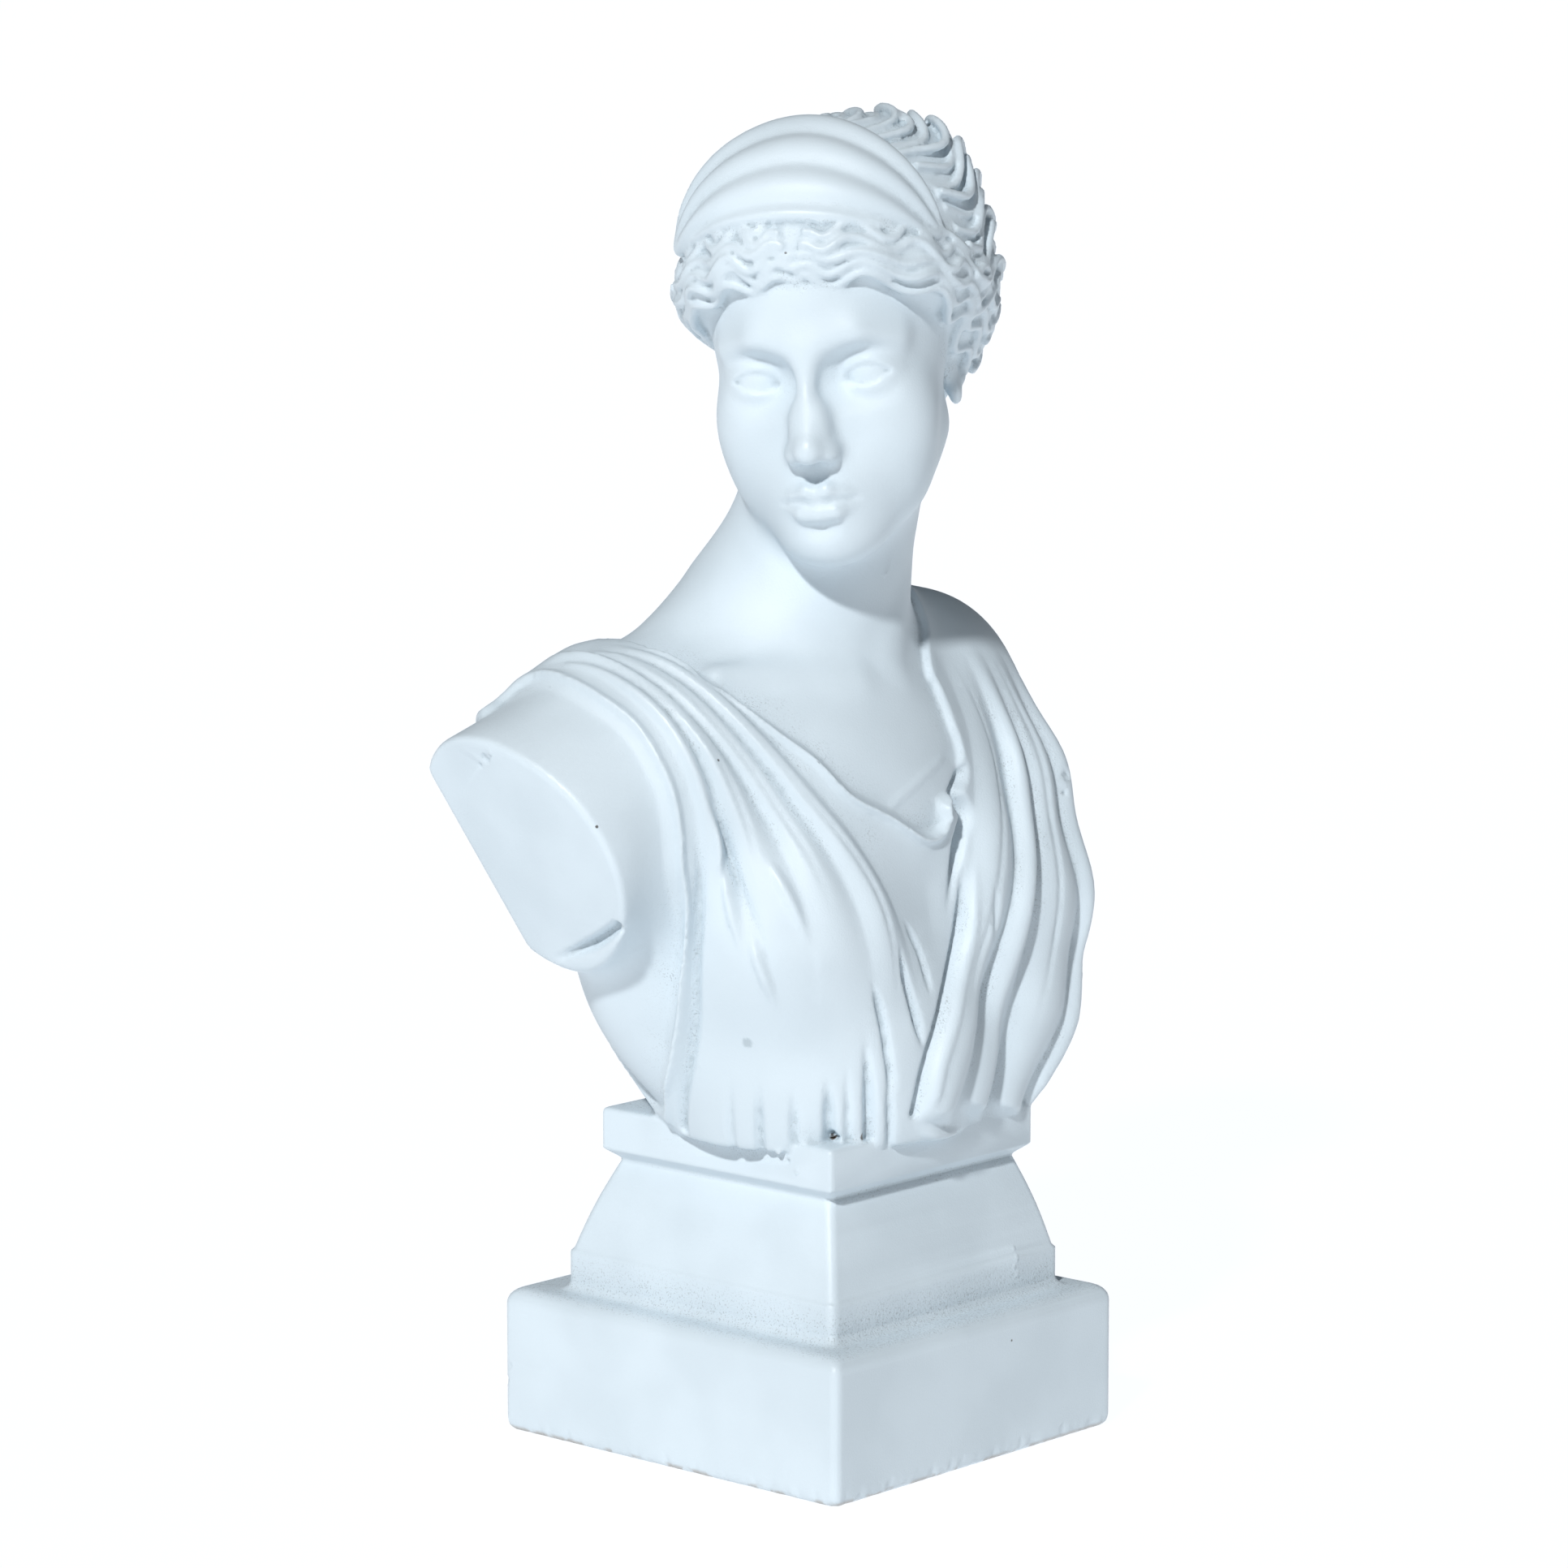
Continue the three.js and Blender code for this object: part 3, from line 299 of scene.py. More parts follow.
def headForm(x, y, z):
    hx, hy, hz = (toHead[m, 0] * x + toHead[m, 1] * y + toHead[m, 2] * z + toHead[m, 3] for m in range(3))
    return np.minimum(join2(face(hx, hy, hz), hairForm(hx, hy, hz), 1.5), headBand(hx, hy, hz))


def bodyForm(x, y, z):
    trim = np.maximum(np.maximum(armCut(x, y, z), armBack(x, y, z)), -figure["sink"] / part - z)
    return -join2(-draped(x, y, z), -trim, 1.5)


def figureForm(x, y, z):
    d = bodyForm(x, y, z)
    near = z > 100
    if near.any():
        d[near] = join2(d[near], headForm(x[near], y[near], z[near]), 5)
    return d


# Does a long list in blocks, four at a time
def inBlocks(work, count, block=60000):
    with ThreadPoolExecutor(4) as pool:
        list(pool.map(lambda first: work(slice(first, first + block)), range(0, count, block)))


# Works a form out on a lattice, coarse to fine: only points near the skin are refined.
def sampled(form, low, high, step, levels=4):
    size = step * 2 ** (levels - 1)
    low = np.array(low, float)
    cells = np.ceil((np.array(high) - low) / size).astype(int)
    for level in range(levels):
        if level == 0:
            axes = [low[m] + size * np.arange(cells[m] + 1) for m in range(3)]
            values = form(*(a.ravel() for a in np.meshgrid(*axes, indexing="ij"))).astype(np.float32)
            values = values.reshape([c + 1 for c in cells])
            continue
        size /= 2
        for axis in range(3):  # doubles the lattice along one axis after another
            a = np.moveaxis(values, axis, 0)
            finer = np.empty((2 * a.shape[0] - 1,) + a.shape[1:], np.float32)
            finer[::2] = a
            finer[1::2] = (a[:-1] + a[1:]) / 2
            values = np.moveaxis(finer, 0, axis)
        values = np.ascontiguousarray(values)
        near = np.flatnonzero(np.abs(values.ravel()) < (1.9 * size if level == levels - 1 else 2.6 * size))
        i, j, k = np.unravel_index(near, values.shape)
        flat = values.reshape(-1)

        def refine(block):
            flat[near[block]] = form(*(low[m] + n[block] * size for m, n in enumerate((i, j, k))))
        inBlocks(refine, len(near))
    return values, low, size


# One vertex in each cell that the skin crosses, and one quad across each lattice edge that it crosses
def skinOf(values, low, size):
    inside = values < 0
    corners = [(a, b, c) for a in (0, 1) for b in (0, 1) for c in (0, 1)]
    span = tuple(n - 1 for n in values.shape)
    count = sum(inside[a:a + span[0], b:b + span[1], c:c + span[2]].astype(np.int8) for a, b, c in corners)
    cells = np.flatnonzero((count > 0) & (count < 8))
    index = np.stack(np.unravel_index(cells, span), axis=1)
    number = np.full(span, -1, np.int32)
    number.reshape(-1)[cells] = np.arange(len(cells))
    corner = {c: values[tuple((index + c).T)] for c in corners}
    total, crossings = np.zeros((len(cells), 3)), np.zeros(len(cells))
    for c in corners:
        for axis in range(3):
            if c[axis]:
                continue
            other = tuple(v + (m == axis) for m, v in enumerate(c))
            va, vb = corner[c], corner[other]
            crossing = (va < 0) != (vb < 0)
            t = np.where(crossing, va / np.where(crossing, va - vb, 1), 0)
            place = np.array(c, float) + np.eye(3)[axis] * t[:, None]
            total += place * crossing[:, None]
            crossings += crossing
    points = low + (index + total / crossings[:, None]) * size
    quads = []
    for axis in range(3):
        here = np.moveaxis(inside, axis, 0)
        edge = np.argwhere(np.moveaxis(here[:-1] != here[1:], 0, axis))
        u, v = np.eye(3, dtype=int)[(axis + 1) % 3], np.eye(3, dtype=int)[(axis + 2) % 3]
        ring = [number[tuple((edge - shift).T)] for shift in (u + v, v, 0 * u, u)]
        out = inside[tuple(edge.T)][:, None]
        quads.append(np.where(out, np.stack(ring, 1), np.stack(ring[::-1], 1)))
    return points, np.concatenate(quads)


# Folds are drawn as the camera sees them: right and up, in parts, on a sheet through the figure's middle,
# and each line is carried along the sight lines until it meets the body. A part is a hair under a
# millimetre, so the camera's distance serves in parts too.
def viewpoint():
    a, e = math.radians(view["azimuth"]), math.radians(view["elevation"])
    back = np.array([math.sin(a) * math.cos(e), -math.cos(a) * math.cos(e), math.sin(e)])
    right = np.array([math.cos(a), math.sin(a), 0])
    middle = np.array([0, 0, view["target"][2] - plinthHeight])
    eye = middle + back * view["distance"]
    return {"eye": eye, "middle": middle, "right": right, "up": np.cross(back, right), "back": back}


drawnFrom = viewpoint()


def carryOnto(form, points):
    flat = np.array(points, float)
    aim = drawnFrom["middle"] + flat[:, :1] * drawnFrom["right"] + flat[:, 1:] * drawnFrom["up"]
    sight = aim - drawnFrom["eye"]
    sight /= np.linalg.norm(sight, axis=1, keepdims=True)
    p = drawnFrom["eye"] + sight * (view["distance"] - view["sightStart"])
    best, nearest = p.copy(), np.full(len(p), 1e9)
    for _ in range(200):
        d = form(*p.T)
        closer = d < nearest
        best[closer], nearest[closer] = p[closer], d[closer]
        p = p + sight * (np.where(d < 0.02, 0, np.maximum(d * 0.7, 0.05)))[:, None]
    return settle(form, best)


def smoothCurve(points, steps, closed=False):
    p = np.array(points, float)
    k = len(p)
    if closed:
        p = np.concatenate([p[-1:], p, p[:2]])
        k += 1
    else:
        p = np.concatenate([2 * p[:1] - p[1:2], p, 2 * p[-1:] - p[-2:-1]])
    t = np.linspace(0, 1, 21)[:-1, None]
    rows = []
    for i in range(1, k):
        a, b, c, d = p[i - 1:i + 3]
        squared = (2 * a - 5 * b + 4 * c - d) * t**2
        cubed = (3 * b - a - 3 * c + d) * t**3
        rows.append(0.5 * (2 * b + (c - a) * t + squared + cubed))
    rows.append(p[k:k + 1])
    q = np.concatenate(rows)
    length = np.concatenate([[0], np.cumsum(np.linalg.norm(np.diff(q, axis=0), axis=1))])
    even = np.linspace(0, length[-1], steps + 1)
    return np.stack([np.interp(even, length, q[:, m]) for m in range(q.shape[1])], axis=1)


# A line that lies on a form, with the direction that points to its left side at each of its points
def surfaceLine(form, points, closed=False, steps=24):
    spine = settle(form, smoothCurve(points, steps, closed))
    outward = slopeOf(form, spine)
    order = np.arange(steps + 1)
    before = np.where(closed & (order == 0), steps - 1, np.maximum(order - 1, 0))
    after = np.where(closed & (order == steps), 1, np.minimum(order + 1, steps))
    side = np.cross(outward, spine[after] - spine[before])
    return spine, side / np.linalg.norm(side, axis=1, keepdims=True)


# The nearest place on a line: squared distance, how far along from 0 to 1, and how far to the side
def nearestOn(line, p):
    spine, side = line
    steps = len(spine) - 1
    nearest, along, across = np.full(len(p), 1e9), np.zeros(len(p)), np.zeros(len(p))
    for i in range(steps):
        u = spine[i + 1] - spine[i]
        d = p - spine[i]
        t = np.clip(d @ u / (u @ u + 1e-12), 0, 1)
        d = d - t[:, None] * u
        squared = np.einsum("ij,ij->i", d, d)
        closer = squared < nearest
        nearest[closer] = squared[closer]
        along[closer] = (i + t[closer]) / steps
        turned = side[i] + t[closer, None] * (side[i + 1] - side[i])
        across[closer] = np.einsum("ij,ij->i", d[closer], turned)
    return nearest, along, across


# Height of a set of ridges. Ridges that meet keep a sharp valley between them, and a ridge of negative
# height is a groove.
def reliefOf(ridges, p):
    raised, sunk = np.zeros(len(p)), np.zeros(len(p))
    for line, width, height, fade, steep in ridges:
        reach = width * 1.6 + 1
        low, high = line[0].min(0) - reach, line[0].max(0) + reach
        near = np.flatnonzero(((p > low) & (p < high)).all(1))
        if not len(near):
            continue
        nearest, along, across = nearestOn(line, p[near])
        swell = ease(0, fade[0], along) * ease(0, fade[1], 1 - along)
        half = width * (0.5 + 0.5 * swell) * np.where(across > 0, 1, steep)
        q = np.minimum(np.abs(across) / half, 1)
        shape = (1 - q * q) ** 2 * (1 - 0.3 * q) if height < 0 else (1 - q * q) * (1 - 0.4 * q * q)
        h = np.where(nearest < half * half * 1.7, height * swell * shape, 0)
        raised[near] = np.maximum(raised[near], h)
        sunk[near] = np.minimum(sunk[near], h)
    return raised + sunk


def ridge(points, width, height, fade, steep=1):
    return surfaceLine(draped, carryOnto(draped, points)), width, height, fade, steep


# Each fold: its line, its width, its height as a share of the folds' depth, and how it fades at both ends.
def drapeFolds():
    folds = [
        # the groove beside the mantle, and the short ones below it
        ([(32, 3.5), (29.6, -3), (31.6, -8), (30.4, -14), (29.4, -21), (27.4, -32)], 3.1, -1.5, (0.12, 0.5)),
        ([(15.3, -36.7), (17.1, -43), (19.9, -51.2), (22.6, -62.1)], 1.5, -0.9, (0.3, 0.3)),
        ([(10.3, -44), (13, -53), (14.7, -62.1), (15.6, -73)], 1.4, -0.7, (0.3, 0.2)),
        ([(17.1, -31.2), (21.2, -39.4), (24.4, -50.3)], 1.4, -0.45, (0.3, 0.3)),
        # the mantle's inner edge
        ([(31.6, -14), (29.7, -34.9), (26.5, -50), (22.8, -63.9), (19.9, -76)], 1.7, -0.8, (0.3, 0.02)),
        ([(33.4, -14), (31.8, -34.9), (28.6, -50), (25, -63.9), (22.2, -75)], 1.8, 0.4, (0.3, 0.1)),
        ([(36.7, -22.1), (37.1, -29.4), (36.7, -36.7)], 1.3, -0.4, (0.4, 0.4)),
        # a groove across the breast
        ([(-27.9, -0.3), (-23.3, -9.4), (-17.9, -22.1), (-12.4, -35.8), (-8.8, -47.6)],
         1.6, -0.4, (0.3, 0.4)),
        *((points, 1.2, -0.24, (0.3, 0.3)) for points in (  # fine creases along the pleats
            [(27.6, 28.6), (34, 12.9), (37, -4), (35.2, -33.5), (28, -62)],
            [(34, 31.4), (43.4, 12.9), (48.8, -6.7), (50.4, -33.5), (44, -61)],
            [(37.6, 31.4), (48.4, 12), (54.2, -6.2), (57, -35.2), (50.8, -61)],
            [(24.4, 23), (29.6, 8), (31.2, -4)],
            [(-61, 22.9), (-48.6, 24), (-31, 12.7), (-17.8, -8), (-10, -30)],
            [(-54.6, 25.2), (-42.4, 24.4), (-22.9, 9.7), (-6.5, -12.2), (3.4, -35)],
            [(-48, 27), (-35.6, 24), (-14.2, 7.4), (3.6, -14.9), (15, -41.6), (17.6, -57)],
        )),
        # notches along the lower hem
        ([(-18.5, -64), (-18, -83)], 1.6, -0.35, (0.7, 0.02)),
        ([(-12.6, -66), (-12.2, -83)], 1.5, -0.6, (0.6, 0.02)),
        ([(-5.4, -68), (-5, -83)], 1.5, -0.5, (0.6, 0.02)),
        ([(1.8, -66), (2.2, -83)], 1.9, -0.8, (0.5, 0.02)),
        ([(5.8, -62), (6, -83)], 1.3, -0.4, (0.6, 0.02)),
        ([(9.8, -56), (10.4, -83)], 2, -1, (0.6, 0.02)),
        ([(14.4, -64), (14.9, -83)], 1.5, -0.6, (0.5, 0.02)),
        # the mantle's rolled hem, the fold down the side and short ridges over the breast
        ([(20, -77), (26, -79.4), (36, -80.2), (44, -78.8), (49.4, -73.5)], 2.4, 0.5, (0.15, 0.15)),
        ([(-30.8, -20), (-29.4, -32), (-29.8, -45), (-31, -60), (-32, -76)], 2.4, 0.35, (0.3, 0.02)),
        ([(-25.4, -6), (-22.8, -16), (-20.6, -26)], 1.6, 0.55, (0.4, 0.5)),
        ([(-21.6, -18), (-18, -31), (-15.4, -41)], 1.7, 0.6, (0.35, 0.5)),
        ([(-11.6, -18), (-6.2, -28.5), (-2.4, -38)], 1.7, 0.5, (0.4, 0.5)),
        ([(-15.4, -34), (-11.6, -44), (-8.8, -52)], 1.6, 0.5, (0.4, 0.5)),
    ]
    made = [ridge(points, width, figure["foldDepth"] * share, fade) for points, width, share, fade in folds]
    side = [(-29.6, -8), (-27.2, -20), (-26.4, -32), (-26.6, -45), (-27.6, -60), (-28.6, -79)]
    made.append(ridge(side, 2.4, -figure["foldDepth"] * 0.6, (0.35, 0.02), 0.8))
    return made


# Pleats that lie side by side between valley lines
def drapePleats():
    depth = figure["foldDepth"]
    chest = [
        [(-70.6, 19), (-59.7, 22.6), (-41.5, 15.9), (-30.6, -0.3), (-26.4, -25.8), (-25.9, -38.5)],
        [(-65.1, 21.8), (-52.4, 24), (-34.2, 13.8), (-23.3, -6.7), (-16, -32.1), (-13.8, -42.1)],
        [(-57.8, 24.8), (-46, 24.7), (-27.9, 11.5), (-12.4, -9.4), (-3.3, -29.4), (-1.5, -36.7)],
        [(-51.5, 26.6), (-38.8, 24.2), (-17.9, 7.9), (-0.6, -14.9), (10.3, -41.2), (13, -54.9)],
        [(-45.1, 28.2), (-32.4, 23.8), (-10.6, 6.9), (7.6, -14.9), (19.9, -42.1), (22.3, -59.4)],
    ]
    mantleValleys = [
        [(25.8, 27.8), (31.2, 11.5), (33, -4), (29.9, -34.9), (23, -63.9), (19.4, -77.6)],
        [(29, 30.6), (36.7, 14.2), (40.8, -4), (40.3, -32.1), (32.6, -62.1), (29, -73.9)],
        [(32.1, 31.5), (41.2, 13.3), (46, -5.8), (45.8, -31.2), (39.4, -60.3), (35.8, -73.9)],
        [(35.8, 31.9), (45.8, 12.4), (51.7, -7.6), (54.9, -35.8), (48.5, -62.1), (43, -74.9)],
        [(39.4, 31.9), (51.2, 11.5), (56.7, -4.9), (59.4, -34.9), (53, -61.2), (48, -73)],
    ]
    made = []
    for valleys, height, fade in (
        (chest, depth * 1.1, (0.15, 0.3)),
        (mantleValleys, depth * 1.35, (0.3, 0.02)),
    ):
        lines = [surfaceLine(draped, carryOnto(draped, points), False, 40) for points in valleys]
        for i, pair in enumerate(zip(lines, lines[1:])):
            made.append((pair, height * (0.8 + 0.2 * math.sin(2.3 * i)), fade))
    return made


# Height of a pleat: a round crest, lower where it is narrow
def pleatHeight(pleat, p):
    lines, height, fade = pleat
    both = np.concatenate([line[0] for line in lines])
    near = np.flatnonzero(((p > both.min(0) - 3) & (p < both.max(0) + 3)).all(1))
    result = np.zeros(len(p))
    if not len(near):
        return result
    (first, along, left), (last, also, right) = (nearestOn(line, p[near]) for line in lines)
    first, last = np.sqrt(first), np.sqrt(last)
    width = first + last
    within = (left * right < 0) & (width < 1.5 * np.linalg.norm(lines[0][0] - lines[1][0], axis=1).max())
    t = (along + also) / 2
    swell = ease(0, fade[0], t) * ease(0, fade[1], 1 - t) * np.minimum(width / 5, 1)
    crest = np.sqrt(np.sin(np.pi * first / width) ** 2 + 0.015) - 0.12
    result[near] = np.where(within, height * swell * crest, 0)
    return result


def onBody(points):
    return list(carryOnto(draped, points))


neckFront = [
    (-41.5, 29.2), (-30.6, 24), (-19.7, 16.6), (-9, 9.2), (-1.5, 4), (6.3, -3.8), (15.4, -8.6),
    (22, -12.8), (25.2, -12.6), (27.2, -9.5), (27.2, -5.8), (29.2, -2.4),
]
armFront = [
    (-75.5, 14.8), (-71.1, 19.1), (-62.8, 20.9), (-55.5, 19.7), (-48.2, 15.5), (-42, 10.6), (-37.3, 3.3),
    (-34.2, -4), (-32.8, -12.5), (-32.4, -19.8), (-30.6, -28.1), (-29.3, -37.2), (-30, -45.8),
    (-31.5, -55.8), (-32.6, -64.9), (-33.8, -73.9),
]


def hemLines():
    neckline = surfaceLine(draped, [
        *onBody(neckFront[::-1]), (-38, 30, 108), (0, 42, 104), (24, 34, 108),
        *onBody([(23.4, 26), (25.6, 20), (28, 13.5), (30.4, 7.5), (31, 2.5)]),
    ], True, 90)
    armhole = surfaceLine(draped, [*onBody(armFront), (-34, 30, 6), (-42, 40, 50), (-62, 44, 86)], True, 90)
    return neckline, armhole


# Raises the cloth and its folds on the body's own skin
def drape(points):
    neckline, armhole = hemLines()
    folds = drapeFolds()
    packed = drapePleats()
    body = np.flatnonzero((np.abs(draped(*points.T)) < 0.6) & (points[:, 2] < 140))
    p = points[body]
    covered = ease(-0.5, 0.5, np.minimum(nearestOn(neckline, p)[2], nearestOn(armhole, p)[2]))
    hems = reliefOf([
        (surfaceLine(draped, onBody(neckFront), False, 60), 1.7, figure["hemRoll"], (0.1, 0.06), 1),
        (surfaceLine(draped, onBody(armFront), False, 60), 2.4, figure["hemRoll"] * 0.8, (0.1, 0.1), 1),
        ridge([(-74, 17.5), (-66, 22.5), (-56, 27), (-46, 30)], 8, 1.3, (0.3, 0.3)),
        ridge([(14, -8), (20.3, -2.7), (25.2, 2), (29, 6)], 1.4, 0.5, (0.2, 0.2)),
    ], p)
    laid = reliefOf(folds, p) + sum(pleatHeight(pleat, p) for pleat in packed)
    height = covered * (figure["clothThickness"] + laid) + hems
    points[body] += slopeOf(draped, p) * height[:, None]
    underArm = [(-44.2, -32.8), (-50.6, -37.2), (-60.5, -41.5)]
    crease = surfaceLine(bodyForm, carryOnto(bodyForm, underArm))
    near = np.flatnonzero((np.abs(points - crease[0].mean(0)) < 16).all(1))
    sunk = reliefOf([(crease, 2.2, -3, (0.05, 0.6), 1)], points[near])
    points[near] += slopeOf(bodyForm, points[near]) * sunk[:, None]
    return points


def meshObject(name, points, faces):
    mesh = bpy.data.meshes.new(name)
    mesh.vertices.add(len(points))
    mesh.vertices.foreach_set("co", np.asarray(points, np.float32).ravel())
    faces = np.asarray(faces, np.int32)
    mesh.loops.add(faces.size)
    mesh.loops.foreach_set("vertex_index", faces.ravel())
    mesh.polygons.add(len(faces))
    mesh.polygons.foreach_set("loop_start", np.arange(0, faces.size, faces.shape[1], dtype=np.int32))
    mesh.polygons.foreach_set("loop_total", np.full(len(faces), faces.shape[1], np.int32))
    mesh.update(calc_edges=True)
    mesh.validate()
    made = bpy.data.objects.new(name, mesh)
    bpy.context.scene.collection.objects.link(made)
    return made


def inMetres(points):
    return (np.asarray(points) * part + (0, toMiddle, plinthHeight)) / 1000


# Adds a node to a tree: inputs are values, or the sockets that they are linked to.
def addNode(tree, kind, inputs=None, **settings):
    node = tree.nodes.new(kind)
    for name, value in settings.items():
        setattr(node, name, value)
    for name, value in (inputs or {}).items():
        if isinstance(value, bpy.types.NodeSocket):
            tree.links.new(value, node.inputs[name])
        else:
            node.inputs[name].default_value = value
    return node


# The mesh that an object's modifiers make of it; the object goes.
def finished(thing, name):
    bpy.context.view_layer.update()
    evaluated = thing.evaluated_get(bpy.context.evaluated_depsgraph_get())
    mesh = bpy.data.meshes.new_from_object(evaluated)
    made = bpy.data.objects.new(name, mesh)
    bpy.context.scene.collection.objects.link(made)
    bpy.data.objects.remove(thing)
    return made


hair = {  # parts and degrees, in the head's own axes
    "frontRadius": 2.15,
    "crownRadius": 2.35,
    "sink": 0.85,  # how far the locks' middles lie under the mass
    "flutes": 5,
    "fluteDepth": 0.12,
    "rows": 6,  # locks from the hairline to the band, on each side of the parting
    "rowWaves": 6.5,
    "rowSwing": 1.5,
    "crownLocks": 42,
    "crownWaves": 2.3,
    "napeLocks": 18,
    "crownSwing": 5.5,
    "knotTurns": 2.6,  # of two locks together
    "sectionPoints": 15,
}


# Casts sight lines inwards from outside a form until they meet it, and tells which of them do.
def castOnto(form, origins, directions):
    p = origins + directions * 75
    for _ in range(90):
        d = form(*p.T)
        p = p - directions * np.clip(d * 0.8, 0, 6)[:, None]
    return p, np.abs(form(*p.T)) < 1


def frontLocks():
    locks = []
    for side in (-1, 1):
        for row in range(hair["rows"]):
            t = np.linspace(0, 1, 110)
            turn = np.radians(-2 + 1.5 * row + (158 - 5 * row) * t)
            x, y = np.sin(turn) * 27, 4 - np.cos(turn) * 30
            low = hairlineAt(x, y) + 0.2
            high = np.maximum(np.minimum(20.5 - 0.5 * y, 34.5) + 1, low + 15 + 9 * t)
            level = (row + 0.5) / hair["rows"]
            swing = hair["rowSwing"] * (1 + 0.25 * math.sin(row * 1.9 + side))
            phase = 0.45 * row + 0.3 * math.sin(row * 2.3 + side * 0.7)
            phase = phase + 0.8 * np.sin(2 * np.pi * 1.4 * t + side)
            sway = 1 + 0.3 * np.sin(2 * np.pi * 2.3 * t + row * 0.5 + side)
            wave = 2 * np.pi * hair["rowWaves"] * t
            z = low + (high - low) * level + swing * sway * np.sin(wave + phase) * ease(0, 0.06, t)
            directions = np.stack([side * np.sin(turn), -np.cos(turn), np.zeros_like(t)], axis=1)
            origins = np.stack([np.zeros_like(t), np.full_like(t, 4), z], axis=1)
            p, met = castOnto(hairMass, origins, directions)
            depth = 0.35 * np.sin(wave * 0.5 + row * 2.1) + 0.8 * ease(0.7, 1, level) * (1 - t)
            p = p - directions * (hair["sink"] - depth)[:, None]
            radius = (0.6 + 0.4 * ease(0, 0.05, t)) * (1 + 0.3 * t - 0.6 * ease(0.85, 1, t))
            radius = radius * hair["frontRadius"] * (1 + 0.13 * math.sin(row * 1.9 + 1))
            radius = radius * (1 + 0.12 * np.sin(wave + 1.3 + row))
            locks.append((p[met], radius[met]))
    return locks


# Locks like meridians: they leave the band and the nape and gather at the knot.
def crownLocks():
    locks = []
    total = hair["crownLocks"] + hair["napeLocks"]
    for i in range(total):
        lean = (i + 0.5) / total * 360 - 180
        t = np.linspace(0, 1, 56)
        overTop = abs(lean) < 100
        start = -22 + 6 * math.cos(math.radians(lean)) if overTop else 8
        pitch = np.radians(start + (80 - start) * t)
        wave = 2 * np.pi * hair["crownWaves"] * t + i * 0.15
        swing = hair["crownSwing"] * np.sin(wave + 0.3 * math.sin(i * 1.7)) * (1 - 0.5 * t)
        tilt = np.radians(lean + swing * (1 if overTop else 0.5))
        directions = np.stack([
            np.sin(tilt) * np.cos(pitch), np.sin(pitch), np.cos(tilt) * np.cos(pitch),
        ], axis=1)
        origins = np.tile(np.array([[0.0, 10, 14]]), (len(t), 1))
        p, met = castOnto(hairMass, origins, directions)
        depth = 0.7 * np.sin(2 * np.pi * 1.6 * t + i * 2.6) + (0.5 if i % 3 == 0 else 0)
        fullness = 1.5 * math.exp(-(((lean - 46) / 28) ** 2))  # most beside the crown
        depth = depth + fullness * np.sin(np.pi * t)
        p = p - directions * (hair["sink"] - depth)[:, None]
        radius = (0.6 + 0.4 * np.cos(pitch)) * hair["crownRadius"]
        radius = radius * (1.1 if overTop else 0.85) * (1.2 if i % 3 == 0 else 1)
        grown = met & (p[:, 2] > hairlineAt(p[:, 0], p[:, 1]) + 1.5)  # a lock starts above the hairline
        p, radius = p[grown], radius[grown]
        radius = radius * (0.5 + 0.5 * ease(0, 0.1, np.linspace(0, 1, len(p))))
        locks.append((p, radius))
    return locks


def knotLocks():
    locks = []
    for start in (0, 180):
        t = np.linspace(0, 1, 72)
        turn = np.radians(start) + 2 * np.pi * hair["knotTurns"] / 2 * t
        reach = 1.15 - 1.02 * t
        directions = np.stack([
            np.cos(turn) * reach, np.sqrt(np.maximum(1.2 - reach**2, 0.02)), np.sin(turn) * reach,
        ], axis=1)
        directions /= np.linalg.norm(directions, axis=1, keepdims=True)
        origins = np.tile(np.array([[0.0, 42, 16]]), (len(t), 1))
        p, _ = castOnto(hairMass, origins, directions)
        p = p - directions * hair["sink"]
        locks.append((p, (1.9 + 1.2 * (1 - t)) * (0.6 + 0.4 * ease(0, 0.08, t))))
    return locks


